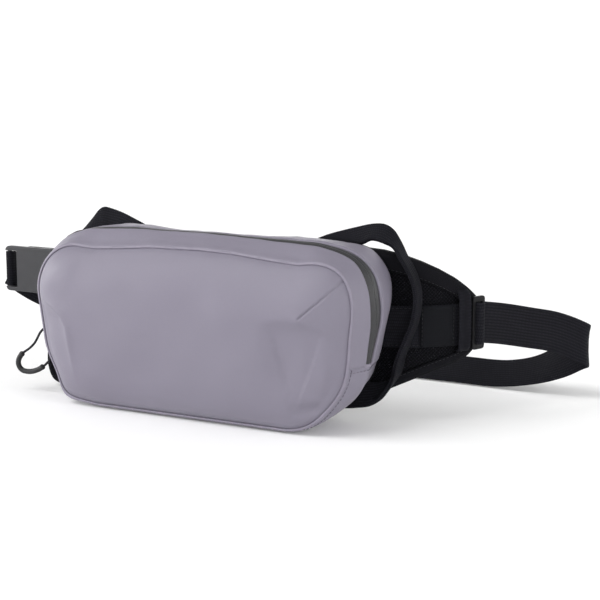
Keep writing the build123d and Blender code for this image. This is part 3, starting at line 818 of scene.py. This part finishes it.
def filled_outline(o, inset, columns, rows_between=26):
    """A grid over an outline, row by row from the bottom up, that ends on the outline itself."""
    points = ring(o, inset, arc=22, straight=rows_between)
    half = points[: len(points) // 2 + 1]
    half = half[half[:, 0] > 0.5]
    low, high = o.z_bottom + inset, o.z_top - inset
    ends = [p for p in half if low + 1e-3 < p[1] < high - 1e-3]
    bottom = max(p[0] for p in half if p[1] <= low + 1e-3)
    top = max(p[0] for p in half if p[1] >= high - 1e-3)
    rows = [(bottom, low), *((p[0], p[1]) for p in ends), (top, high)]
    share = np.linspace(-1, 1, columns)
    share = np.sin(share * pi / 2) * 0.45 + share * 0.55
    return np.array([[(x * t, z) for t in share] for x, z in rows])


def front_panel():
    rim = ring(WELT, 0.0, arc=40, straight=90)
    grid = filled_outline(WELT, 0.15, 150)
    flat = grid.reshape(-1, 2)
    verts = np.stack([flat[:, 0], np.zeros(len(flat)), flat[:, 1]], axis=1)
    piece = mesh_piece("front_panel_shell", verts, grid_faces(*grid.shape[:2]), COATED)
    with editing(piece) as bm:
        # a finer mesh along the dart
        for reach in (5.0, 2.4):
            beside = []
            for edge in bm.edges:
                middle = (edge.verts[0].co + edge.verts[1].co) / 2 / MM
                if to_line(np.array([[middle.x, middle.z]]), DART)[0] < reach:
                    beside.append(edge)
            bmesh.ops.subdivide_edges(bm, edges=beside, cuts=1, use_grid_fill=True)
        place = np.array([(v.co.x / MM, v.co.z / MM) for v in bm.verts])
        depth = panel_depth(place, rim)
        seam_y = np.full(len(place), float(WELT.y))
        moved = soft(np.stack([place[:, 0], seam_y, place[:, 1]], axis=1))
        for vert, (x, _, z), y in zip(bm.verts, moved, depth):
            vert.co = (x * MM, y * MM, z * MM)
    facing(piece, 1, -1)
    piece.data.polygons.foreach_set("use_smooth", [True] * len(piece.data.polygons))
    return thicken(piece, 1.0)


settle(front_panel(), "pack", "coated_fabric", "front_panel")

# ---------------------------------------------------------------- pouch walls
welt_profile = [
    (WELT.y - 0.2 + 0.95 * cos(a), 0.1 + 1.0 * sin(a)) for a in (2 * pi * k / 12 for k in range(12))
]
# the piping roll takes the paler welt cloth, a painted highlight along the seam
welt = wall_roll("front_welt_roll", welt_profile, WELT_PAINTED_HIGHLIGHT)
settle(welt, "pack", "coated_fabric", "front_welt")

FRONT_GUSSET = [(-26.2, -0.3), (-25.6, 0.3), (-24.4, 0.35), (-22.6, 0.1), (-20, 0.35), (-16.5, 0.5)]
FRONT_HEM = [(-14, 0.3), (-12.6, 0.7), (-11.6, 0.65), (-11.1, 0.3), (-11.0, -0.3), (-11.3, -0.9)]
REAR_HEM = [(-0.7, -0.9), (-1.0, -0.3), (-0.9, 0.3), (-0.4, 0.65), (0.6, 0.7), (2.0, 0.3)]
REAR_GUSSET = [
    (4.0, 0.45), (7.5, 0.8), (13, 1.2), (18.5, 1.0), (23, 0.5), (25.2, 0.1), (26.3, -0.3),
]
BOTTOM_GUSSET = [
    (-26.2, -0.3), (-25.6, 0.3), (-24.4, 0.3), (-22, 0.1), (-17, 0.1), (-11, 0.1), (-6, 0.0),
    (-1, 0.0), (5, 0.0), (12, 0.0), (19, 0.0), (25.2, 0.0), (26.3, -0.3),
]

# zip: two filmed tapes that meet over the coil
FRONT_TAPE = [
    (-12.6, -1.5), (-11.0, -1.1), (-9.8, -0.65), (-8.4, -0.35), (-7.2, -0.25), (-6.55, -0.35),
    (-6.22, -0.7), (-6.2, -1.2),
]
REAR_TAPE = [(2 * ZIP.y - y, off) for y, off in reversed(FRONT_TAPE)]
for name, profile, part, ripple in (
    ("front_gusset", FRONT_GUSSET + FRONT_HEM, "arch", 0.2),
    ("rear_gusset", REAR_HEM + REAR_GUSSET, "arch", 0.25),
    ("bottom_gusset", BOTTOM_GUSSET, "bottom", 0.0),
):
    sheet = wall_sheet(name + "_sheet", profile, 220, part, COATED, 0.9, ripple)
    settle(sheet, "pack", "coated_fabric", name)
for word, profile in (("front", FRONT_TAPE), ("rear", REAR_TAPE)):
    tape = wall_sheet("zip_tape_" + word, profile, 260, "arch", ZIP_FILM, 0.5)
    settle(tape, "pack", "zipper_tape", "zipper_tape_" + word)


def zip_coil():
    """The coil under the tapes' lips: a ribbed bead with one rib for each tooth."""
    even, normal, _ = rail(ZIP.y, 700, "arch")
    verts = []
    for k, (place, out) in enumerate(zip(even, normal)):
        girth = 0.72 + 0.18 * (k % 2)
        for turn in range(8):
            a = 2 * pi * turn / 8
            x, z = place + out * (-1.35 + 0.55 * girth * sin(a))
            verts.append((x, ZIP.y + 1.3 * girth * cos(a), z))
    return mesh_piece("zip_coil_bead", soft(verts), capped(len(even), 8), COIL)


settle(zip_coil(), "pack", "zipper_tape", "zipper_coil")

# the patches over the zip's ends: middle and half width in depth, height, and how deep they lie
TAB_Y, TAB_HALF, TAB_HIGH, TAB_OFF = -6, 7.6, 9.0, -2.3


def zip_end_patch(side, word):
    """A folded patch sewn over one end of the zip, rounded at its upper corners."""
    verts = []
    for y in np.linspace(-13.6, 1.6, 15):
        at = wall_side(side, y, 400)
        z_high = ZIP_END[side] - 1.6 - 1.6 * abs((y - TAB_Y) / TAB_HALF) ** 4
        z_low = z_high - TAB_HIGH
        for t in np.linspace(0, 1, 9):
            edge = min(1.0, (1 - t) * 6, t * 6 + 0.4)
            ends = min(1.0, (7.9 - abs(y - TAB_Y)) / 1.2)
            off = TAB_OFF + 0.4 * edge**0.5 * max(ends, 0.0) ** 0.5
            verts.append(at(z_low + (z_high - z_low) * t, off)[0])
    faces = grid_faces(15, 9)
    if side > 0:
        faces = [tuple(reversed(face)) for face in faces]
    piece = mesh_piece(f"zip_end_tab_{word}", soft(verts), faces, COATED)
    facing(piece, 0, side)
    thicken(piece, 0.8)
    return modified(piece, "SUBSURF", levels=1)


for side, word in SIDES:
    settle(zip_end_patch(side, word), "pack", "coated_fabric", f"zip_end_patch_{word}")

binding_profile = [
    (25.2, 0.3), (25.4, 0.75), (26.2, 0.95), (27.2, 0.75), (27.6, 0.1), (27.5, -1.2),
    (27.0, -1.9), (26.0, -1.9), (25.4, -1.2),
]
rear_binding = wall_roll("rear_binding_tape", binding_profile, TAPE_CLOTH)
for vert in rear_binding.data.vertices:
    vert.co.z = max(vert.co.z, 0.0)
settle(rear_binding, "pack", "binding_tape", "rear_binding")

lining_profile = [(y, -3.6 - 0.25 * sin(y * 0.6)) for y in np.linspace(-25, 25, 18)]
lining = wall_sheet("lining_sheet", lining_profile, 200, "loop", LINING_CLOTH, 0.5, 0.25)
settle(lining, "pack", "lining", "lining")


def flat_back():
    """The pouch's own back, behind the padding, very slightly slack."""
    grid = filled_outline(REAR, 0.3, 60, 14)
    flat = grid.reshape(-1, 2)
    y = 27.9 - 0.25 * np.sin(flat[:, 0] * 0.05) * np.sin(flat[:, 1] * 0.07)
    verts = soft(np.stack([flat[:, 0], y, flat[:, 1]], axis=1))
    faces = [tuple(reversed(face)) for face in grid_faces(*grid.shape[:2])]
    piece = mesh_piece("back_sheet_cloth", verts, faces, BACK_CLOTH)
    return thicken(piece, 0.8)


settle(flat_back(), "pack", "back_fabric", "back_sheet")

# topstitching on the pouch
pouch_lines = [wall_line(-22.6, 0.22, "arch"), wall_line(-22.6, 0.22, "bottom")]
pouch_lines += [wall_line(y, off, "arch") for y, off in ((-14.2, 0.42), (2.2, 0.42), (23.0, 0.6))]
settle(stitches("pouch_topstitch", pouch_lines, THREAD), "pack", "coated_fabric")


# ---------------------------------------------------------------- end seams of the zip gusset
# the lap's section: height from the seam, and how far it stands off
LAP = ((1.7, -0.3), (1.3, 0.55), (0.4, 0.95), (-0.6, 0.75), (-1.1, 0.1), (-1.1, -0.4))


def end_seam(side, word):
    """The lapped seam across the wall below the zip, with its row of stitches."""
    verts, sew, sew_normal = [], [], []
    depths = np.linspace(-24.2, 25.0, 44)
    for y in depths:
        at = wall_side(side, y, 500)
        line_z = ZIP_END[side] + 0.4 + 0.5 * sin(y * 0.12)
        for dz, off in LAP:
            verts.append(at(line_z + dz, off)[0])
        place, out = at(line_z - 3.4, 0.25)
        sew.append(place)
        sew_normal.append(out)
    faces = grid_faces(len(depths), 6)
    if side < 0:
        faces = [tuple(reversed(face)) for face in faces]
    # the lap takes the paler welt cloth too, a painted highlight along its fold
    piece = mesh_piece(f"end_seam_{word}", soft(verts), faces, WELT_PAINTED_HIGHLIGHT)
    facing(piece, 0, side)
    return thicken(piece, 0.5), (soft(sew), np.array(sew_normal))


seam_lines = []
for side, word in SIDES:
    seam, sewn = end_seam(side, word)
    seam_lines.append(sewn)
    settle(seam, "pack", "coated_fabric")
settle(stitches("end_seam_stitches", seam_lines, THREAD), "pack", "coated_fabric")

# ---------------------------------------------------------------- wings: places
WING_ROOT, WING_R, PAD_Y = 120.0, 76.0, 30.0
WING_LENGTH = 97.0
# along the wing, its lower edge and its upper edge
WING_S = (0, 15, 30, 45, 60, 73, 85, 93, 97)
WING_LOW = (18, 26, 32.5, 38.5, 43.5, 47, 51.5, 57, 64)
WING_HIGH = (133.5, 132.5, 129.5, 124.5, 118, 111, 103, 96.5, 90)


def on_wing(side, s, depth, z):
    """A place on a wing: distance from its root, depth towards the wearer, and height."""
    turn = s / WING_R
    x = WING_ROOT + WING_R * sin(turn) - sin(turn) * depth
    y = PAD_Y + WING_R * (1 - cos(turn)) + cos(turn) * depth
    return np.array((side * x, y, z))


def from_wing(side, place):
    """Distance along a wing and depth into it, from a place."""
    x, y = side * place[0] - WING_ROOT, PAD_Y + WING_R - place[1]
    return WING_R * atan2(x, y), WING_R - hypot(x, y)


def wing_low(s):
    return float(np.interp(s, WING_S, WING_LOW))


def wing_high(s):
    return float(np.interp(s, WING_S, WING_HIGH))


# ---------------------------------------------------------------- padded pieces
CLOTH_STEPS = 20
CLOTH = {
    "quality": 4,
    "mass": 0.25,
    "use_pressure": True,
    "uniform_pressure_force": 4.0,
    "tension_stiffness": 12,
    "compression_stiffness": 12,
    "bending_stiffness": 0.8,
}


def puff(piece, voxel, cap):
    """Remeshes a closed pad and lets cloth pressure fill it, with no point moving past the cap."""
    modified(piece, "REMESH", mode="VOXEL", voxel_size=voxel * MM, use_smooth_shade=True)
    start = np.array([v.co for v in piece.data.vertices])
    cloth = piece.modifiers.new("fill", "CLOTH")
    for key, value in CLOTH.items():
        setattr(cloth.settings, key, value)
    cloth.settings.effector_weights.gravity = 0
    cloth.point_cache.frame_start, cloth.point_cache.frame_end = 1, CLOTH_STEPS
    for step in range(1, CLOTH_STEPS + 1):
        bpy.context.scene.frame_set(step)
    evaluated = piece.evaluated_get(bpy.context.evaluated_depsgraph_get())
    swollen = np.array([v.co for v in evaluated.data.vertices])
    piece.modifiers.remove(cloth)
    bpy.context.scene.frame_set(1)
    moved = swollen - start
    size = np.maximum(np.linalg.norm(moved, axis=1), 1e-9)
    moved *= (np.minimum(size, cap * MM) / size)[:, None]
    for vert, place in zip(piece.data.vertices, start + moved):
        vert.co = place
    return modified(piece, "SUBSURF", levels=1)


def closed_block(name, columns, material):
    """A closed pad from its sections along it, each a list of places round the pad."""
    verts = [p for column in columns for p in column]
    piece = mesh_piece(name, verts, capped(len(columns), len(columns[0])), material)
    with editing(piece) as bm:
        bmesh.ops.triangulate(bm, faces=[face for face in bm.faces if len(face.verts) > 4])
        bmesh.ops.recalc_face_normals(bm, faces=bm.faces)
    return piece


def paint(piece, uv_of, index_of):
    """Gives a remeshed piece its cloth UV and its faces' materials, from their places."""
    mesh = piece.data
    places = [np.array(v.co) / MM for v in mesh.vertices]
    layer = mesh.uv_layers.new(name="cloth")
    for loop in mesh.loops:
        layer.data[loop.index].uv = [c * MM for c in uv_of(places[loop.vertex_index])]
    for face in mesh.polygons:
        face.material_index = index_of(np.array(face.center) / MM)
        face.use_smooth = True


def wing_pad(side, word):
    """A wing's foam in its cloth: mesh on the outside below the smooth top, mesh on the inside."""
    columns = []
    for s in np.linspace(0.5, WING_LENGTH - 2.2, 34):
        low, high = wing_low(s) + 2.2, wing_high(s) - 2.2
        middle, half = (low + high) / 2, (high - low) / 2
        column = []
        for face in (-1, 1):
            for t in np.linspace(face, -face, 22):
                thin = 1 - 0.45 * abs(t) ** 8
                column.append(on_wing(side, s, 4.9 + face * 3.0 * thin, middle + half * t))
        columns.append(column)
    piece = closed_block(f"wing_pad_{word}", columns, [MESH, BACK_CLOTH])
    puff(piece, 3.4, 1.5)
    for vert in piece.data.vertices:
        place = np.array(vert.co) / MM
        s, depth = from_wing(side, place)
        if depth < 0.25:
            vert.co = on_wing(side, s, 0.25, place[2]) * MM

    def index_of(place):
        return 1 if 3.5 < from_wing(side, place)[1] < 6.0 else 0  # its edge is plain cloth

    paint(piece, lambda p: (from_wing(side, p)[0], p[2]), index_of)
    return piece


def wing_binding(side, word, inset=0.2):
    """Binding tape folded over a wing's edge, from the top of its root round the tip."""
    tip_s = WING_LENGTH - inset
    places = [(s, wing_high(s) - inset) for s in np.linspace(0.0, 93, 40)]
    places += [(tip_s - 0.6, 91.5), (tip_s, 86), (tip_s, 77), (tip_s, 68), (tip_s - 0.6, 62.5)]
    places += [(s, wing_low(s) + inset) for s in np.linspace(93, 0.0, 40)]
    places = np.array(places)
    verts = []
    section = [
        (2.6, -0.35), (1.2, -0.5), (-0.4, 0.4), (-1.1, 2.2), (-1.3, 5.0), (-1.1, 7.8),
        (-0.4, 9.6), (1.2, 10.2), (2.6, 10.1), (2.4, 9.4), (0.6, 8.0), (0.2, 5.0), (0.6, 1.6),
        (2.4, 0.3),
    ]
    tangent = unit(np.gradient(places, axis=0))
    inward = np.stack([tangent[:, 1], -tangent[:, 0]], axis=1)
    for (s, z), n in zip(places, inward):
        for into, depth in section:
            verts.append(on_wing(side, s + n[0] * into, depth, z + n[1] * into))
    faces = capped(len(places), len(section))
    piece = mesh_piece(f"wing_binding_tape_{word}", verts, faces, TAPE_CLOTH)
    with editing(piece) as bm:
        bmesh.ops.recalc_face_normals(bm, faces=bm.faces)
    return piece


def wing_edge_strip(name, side, edge, inset_from, inset_to):
    """A smooth strip laid along a wing's upper or lower edge on its outer face."""
    verts = []
    stations = np.linspace(1, 90, 46)
    for s in stations:
        for t in np.linspace(0, 1, 7):
            z = edge(s) + (inset_from + (inset_to - inset_from) * t)
            rise = -0.15 - 0.75 * min(1.0, (1 - t) * 7, t * 7 + 0.3) ** 0.5
            verts.append(on_wing(side, s, rise, z))
    piece = mesh_piece(name, verts, grid_faces(len(stations), 7), BACK_CLOTH)
    facing(piece, 1, -1)
    return thicken(piece, 0.45)


def wing_stitch_line(side, points):
    """A line of stitches on a wing's face from distance, depth and height."""
    rows = np.array([on_wing(side, s, depth, z) for s, depth, z in points])
    turn = np.array([s for s, _, _ in points]) / WING_R
    normals = np.stack([side * np.sin(turn), -np.cos(turn), np.zeros(len(turn))], axis=1)
    return rows, normals


def back_pad(side, word):
    """One half of the padded back."""
    columns = []
    for x in np.linspace(17, 115, 36):
        low = 8.5 if x < 95 else 8.5 + (x - 95) * 0.63
        high = 132.5
        middle, half = (low + high) / 2, (high - low) / 2
        ends = 1 - 0.5 * abs((x - 66) / 49) ** 8
        column = []
        for t in np.linspace(-1, 1, 24):
            column.append((side * x, 31.2, middle + half * t))
        for t in np.linspace(1, -1, 24):
            thick = 5.6 * ends * (1 - 0.5 * abs(t) ** 8)
            column.append((side * x, 31.4 + thick, middle + half * t))
        columns.append(column)
    piece = closed_block(f"back_pad_{word}", columns, [MESH])
    puff(piece, 4.6, 3.2)
    for vert in piece.data.vertices:
        vert.co.y = max(vert.co.y, 30.6 * MM)
    paint(piece, lambda p: (p[0], p[2]), lambda p: 0)
    return piece


for side, word in SIDES:
    settle(back_pad(side, word), "pack", "spacer_mesh", "back_foam")


def rounded_rim(corners, y, step=3.0):
    """A closed line round an upright polygon, with its corners worn round."""
    points = []
    for a, b in zip(corners, corners[1:] + corners[:1]):
        a, run = np.array(a), np.array(b) - a
        count = int(hypot(*run) / step)
        points += [a + run * k / count for k in range(count)]
    flat = np.array(points)
    for _ in range(4):
        flat = (np.roll(flat, 1, axis=0) + flat * 2 + np.roll(flat, -1, axis=0)) / 4
    flat = np.vstack([flat, flat[:1]])
    return np.stack([flat[:, 0], np.full(len(flat), y), flat[:, 1]], axis=1)


def back_flange():
    """The mesh sheet that the back pads are sewn into, with its bound edge."""
    corners = [(-95, 5.0), (95, 5.0), (118.5, 20.5), (118.5, 136), (-118.5, 136), (-118.5, 20.5)]
    verts, uv = [], []
    columns, rows = 60, 34
    for j in range(rows):
        z = 5.0 + 131.0 * j / (rows - 1)
        half = 118.5 if z > 20.5 else 95 + (z - 5.0) / 15.5 * 23.5  # cut off at the lower corners
        for i in range(columns):
            x = half * (2 * i / (columns - 1) - 1)
            verts.append((x, 31.8 + 0.6 * cos(x * 0.4) * sin(z * 0.05), z))
            uv.append((x * MM, z * MM))
    faces = [tuple(reversed(face)) for face in grid_faces(rows, columns)]
    piece = mesh_piece("back_cover", verts, faces, MESH, uv)
    thicken(piece, 1.2)
    path = rounded_rim(corners, 31.6)
    tape = mesh_piece("back_binding_tape", *tube(path, np.full(len(path), 1.7), 10), TAPE_CLOTH)
    return piece, tape


cover, cover_tape = back_flange()
settle(cover, "pack", "spacer_mesh", "back_mesh")
settle(cover_tape, "pack", "binding_tape")

for side, word in SIDES:
    settle(
        wing_pad(side, word), "pack", "spacer_mesh",
        f"wing_face_{word}", f"wing_foam_{word}", f"wing_mesh_{word}",
    )
    settle(wing_binding(side, word), "pack", "binding_tape", f"wing_binding_{word}")
    for place, edge, near_edge, far in (
        ("upper", wing_high, -1.5, -13.5),
        ("lower", wing_low, 1.5, 8.0),
    ):
        strip = wing_edge_strip(f"wing_{place}_strip_{word}", side, edge, near_edge, far)
        settle(strip, "pack", "back_fabric")

# ---------------------------------------------------------------- webbing on the wings
WEB_Z, WEB_HALF, WEB_THICK = 76.5, 16.0, 1.7


def wing_band(name, side, rows, thick, material=WEBBING, margin=0.0, step=3.0):
    """Webbing along a wing through distances and depths, as wide as the belt less its margins."""
    low, high = WEB_Z - WEB_HALF + margin, WEB_Z + WEB_HALF - margin
    edges = [(*on_wing(side, s, d, high), *on_wing(side, s, d, low)) for s, d in rows]
    return band(name, edges, thick, material, step)


strap_rows = [(s, -1.05) for s in (14, 24, 36, 48, 60, 72, 82)]
bar_rows = [(86.0, -1.5), (88.4, -2.6), (88.9, -4.2)]
for side, word, more in ((1, "right", bar_rows), (-1, "left", [(85.2, -1.05)])):
    strap = wing_band("wing_strap_band_" + word, side, strap_rows + more, WEB_THICK)
    settle(strap, "pack", "webbing", "wing_strap_" + word)

patch_rows = [(s, -2.5) for s in (43.5, 50, 57, 64, 71)]
patch = wing_band("wing_patch_sheet", 1, patch_rows, 0.8, PATCH, 0.4)
settle(patch, "pack", "smooth_patch", "wing_patch")


def keeper():
    """The webbing band that bridges the belt's end, tucked in above and below."""
    path = [(0.0, 103), (-1.2, 101.4), (-3.6, 99.6), (-4.5, 96), (-4.7, 88), (-4.8, 76), (-4.7, 64)]
    path += [(-4.2, 58.6), (-2.4, 56.6), (-0.4, 56.4)]
    edges = [(*on_wing(1, 73.0, d, z), *on_wing(1, 83.0, d, z)) for d, z in path]
    return band("keeper_band", edges, 1.4, KEEPER_WEB, 1.5)


settle(keeper(), "pack", "webbing", "keeper")

wing_lines = []
for side in (-1, 1):
    for z in (WEB_Z - WEB_HALF + 2.0, WEB_Z + WEB_HALF - 2.0):
        wing_lines.append(wing_stitch_line(side, [(s, -1.95, z) for s in np.linspace(16, 72, 40)]))
    spots = np.linspace(3, 88, 60)
    wing_lines.append(wing_stitch_line(side, [(s, -0.95, wing_high(s) - 11.8) for s in spots]))
    wing_lines.append(wing_stitch_line(side, [(s, -0.95, wing_low(s) + 6.6) for s in spots]))
for s in (45.3, 69.3):
    points = [(s, -3.0, z) for z in np.linspace(WEB_Z - 14.5, WEB_Z + 14.5, 20)]
    wing_lines.append(wing_stitch_line(1, points))
settle(stitches("wing_topstitch", wing_lines, BLACK_THREAD, 3.2, 2.3, 0.24), "pack", "webbing")


# ---------------------------------------------------------------- belt
def lean_edges(rows, width=32.0):
    """Edge points of a band from its centre line and its lean in degrees from upright."""
    p = np.array([row[:3] for row in rows], float)
    forward = unit(np.concatenate([p[1:2] - p[:1], p[2:] - p[:-2], p[-1:] - p[-2:-1]]))
    left = unit(np.cross((0, 0, 1), forward))
    up = np.cross(forward, left)
    edges = []
    for i, row in enumerate(rows):
        lean = radians(row[3])
        across = up[i] * cos(lean) + left[i] * sin(lean)
        edges.append((*(p[i] + across * width / 2), *(p[i] - across * width / 2)))
    return edges


TURN = [
    (240 + 10 * cos(radians(a)), 176 + 10 * sin(radians(a)), 48.5 - 0.08 * (a + 30), -lean)
    for a, lean in ((-30, -3), (0, -3), (30, 1), (60, 8), (90, 17))
]
start = on_wing(1, 94.0, -1.05, WEB_Z)
BELT = [
    (*start, 0),
    (203, 104, 72, 0),
    (217, 128, 66, 0),
    (232, 151, 59.5, 0),
    (242.5, 164, 53, 0),
    *TURN,
    (228, 188, 30.5, -30),
    (213, 191, 22.5, -42),
    (196, 194, 16, -52),
    (176, 196, 11.5, -57),
    (130, 198, 10, -59),
    (60, 199, 9.8, -59),
    (-40, 199, 9.8, -59),
    (-120, 198, 10, -58),
    (-160, 196, 12.5, -52),
    (-195, 190, 21, -38),
    (-228, 178, 33, -22),
    (-252, 164, 45, -11),
    (-267, 153.2, 52.5, -5),
    (-277, 147, 58.5, -3),
    (-286, 139, 67, -2),
    (-291, 131.5, 74.5, 0),
    *[
        (-290 + 3.05 * cos(radians(a)), 124.1 + 3.05 * sin(radians(a)), 77, 0)
        for a in (130, 165, 200, 235, 270, 305, 340)
    ],
    (-286.35, 127.3, 77, 0),
]
belt = band("belt_webbing", lean_edges(BELT), WEB_THICK, WEBBING)
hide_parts("belt", "belt_end_loop")
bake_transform(belt)

# the belt's turn round the adjuster's middle bar, with its spare end under the keeper
turn_rows = [
    (94.0, -1.1), (93.9, -2.6), (94.2, -4.6), (93.6, -7.4), (91.5, -8.2), (89.4, -7.4),
    (88.9, -5.0), (88.2, -3.2), (85.5, -2.8), (79, -2.75), (74, -2.75),
]
settle(wing_band("belt_adjuster_turn", 1, turn_rows, 1.4, step=1.2), "pack", "webbing")

WING_END = ((85.3, 0), (90, 0.2), (95, 0.4), (99, 0.5))
STRAP_ROWS = [
    *((*on_wing(-1, s, -1.05 - lift, WEB_Z), 0) for s, lift in WING_END),
    (-197.5, 97, 76.5, 0),
    (-204, 110, 76.6, 0),
    (-214, 121, 76.8, 0),
    (-224, 127.5, 77, 0),
    (-231, 130.2, 77, 0),
]
strap = band("buckle_strap_band", lean_edges(STRAP_ROWS), WEB_THICK, WEBBING)
settle(strap, "pack", "webbing", "buckle_strap")

# ---------------------------------------------------------------- grab handles
# each row is one edge of the folded webbing and then the other; it fans flat into the top seam
HANDLE_RIGHT = (
    (80, 34, 139, 105, 33, 136.5),
    (88, 35, 142, 110, 32.5, 137),
    (99, 37.5, 145.2, 116, 31.5, 137),
    (112, 41, 148.6, 120.5, 30.6, 138.4),
    (122, 43, 150.8, 126, 30.2, 141.2),
    (131, 43.4, 151.2, 131, 30.2, 141),
    (139, 42.8, 147.6, 138, 30.2, 139.2),
    (146, 40.8, 138.8, 145, 29.6, 136.6),
    (152, 38, 129.8, 151.2, 27.2, 129.2),
    (158.4, 37.4, 120.4, 158, 26.4, 119.8),
    (162.4, 38.4, 109, 162.4, 27.2, 109),
    (163.6, 38.8, 96, 163.6, 27.6, 96),
    (161.2, 38.6, 81, 161.2, 27.4, 81),
    (156.6, 37.6, 68, 156, 26, 67),
    (151.8, 36.6, 54, 150.2, 24.2, 51),
    (149.5, 35.2, 42.5, 146.8, 22.6, 35.5),
    (144.5, 33.4, 35.5, 139.5, 22.4, 23.5),
    (136, 31.8, 33, 129, 25, 15.6),
    (124, 30.8, 32.5, 116, 27.6, 11.6),
    (110, 30.4, 31, 104, 28.8, 9.8),
)
HANDLE_LEFT = (
    (-79, 35, 140.8, -100, 33, 134),
    (-91, 38, 144.2, -104, 32.5, 133.8),
    (-103, 41, 147.4, -109, 31.5, 133.6),
    (-115, 43, 149.8, -113, 30.4, 133),
    (-123.5, 43.2, 150.8, -119, 30, 134),
    (-127.2, 42.6, 148.8, -125, 29.4, 133.4),
    (-131.5, 40.2, 142.4, -131, 27.4, 130.8),
    (-137, 36.8, 134.2, -138, 24.8, 127.2),
    (-144, 33.8, 124.4, -145.5, 22.4, 119.8),
    (-151, 33.2, 114, -152.5, 21.8, 111.4),
    (-157, 35.6, 102, -158, 24, 101),
    (-161.5, 38.4, 86, -162, 26.6, 86),
    (-165, 39.4, 68, -165, 27.2, 68),
    (-168, 38.2, 50, -168, 25.8, 50),
    (-169.4, 36.2, 33, -169.4, 23.2, 33),
    (-167.6, 34, 18, -168, 20.6, 17),
    (-161, 32.6, 8, -161.5, 18.6, 7),
    (-148, 32.4, 5, -148, 18, 4.6),
    (-135, 33.6, 9, -135, 18.8, 9),
    (-127, 35, 13, -127, 20, 13),
    (-122, 36, 16, -121, 21, 16),
)
for rows, word in ((HANDLE_RIGHT, "right"), (HANDLE_LEFT, "left")):
    handle = band("handle_webbing_" + word, rows, 3.2, WEBBING, 2.5, layers=2)
    settle(handle, "pack", "webbing", "handle_" + word)

# ---------------------------------------------------------------- carried-over CAD nodes
FINISHES = {
    "buckle_cover": BUCKLE,
    "buckle_tray": BUCKLE,
    "belt_adjuster": ADJUSTER,
    "zipper_slider": SLIDER,
    "cover_magnets": MAGNET,
    "tray_magnets": MAGNET,
    "back_stiffener": STIFFENER,
}
for name, material in FINISHES.items():
    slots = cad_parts[name].data.materials
    slots.clear()
    slots.append(material)


# ---------------------------------------------------------------- floor and horizon
AROUND = 64


def circle(radius, z):
    """Points of a circle from its radius in metres and its height in millimetres."""
    turns = [2 * pi * k / AROUND for k in range(AROUND)]
    return [(radius * cos(a) / MM, radius * sin(a) / MM, z) for a in turns]


def studio(name, circles, grain, *closing, **shader):
    """A pale, faintly speckled stage piece through circles, with a white glow."""
    s = Shade(name, Emission_Color=(1, 1, 1, 1), **shader)
    speck = s.noise(grain)
    colour = s.mix(s.span(speck), (0.93, 0.93, 0.93), (0.95, 0.95, 0.95))
    finish = s.finish(colour, s.span(speck, 0.7, 0.8), speck, 0.01)
    faces = grid_faces(len(circles), AROUND, closed_columns=True)
    mesh_piece(name, [p for row in circles for p in row], [*faces, *closing], finish)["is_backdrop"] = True


floor_rows = [circle(radius, 0) for radius in (0.02, 0.4, 1.5, 6.0, 20.0, 60.0)]
middle = tuple(reversed(range(AROUND)))
studio("studio_floor", floor_rows, 40.0, middle, Specular_IOR_Level=0.1, Emission_Strength=0.05)
studio("studio_horizon", [circle(60, -100), circle(60, 20000)], 1.0, Emission_Strength=1.05)

boxes = {"cad": cad_box, "visual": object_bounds()}
{key: [[float(c) for c in corner] for corner in box] for key, box in boxes.items()}
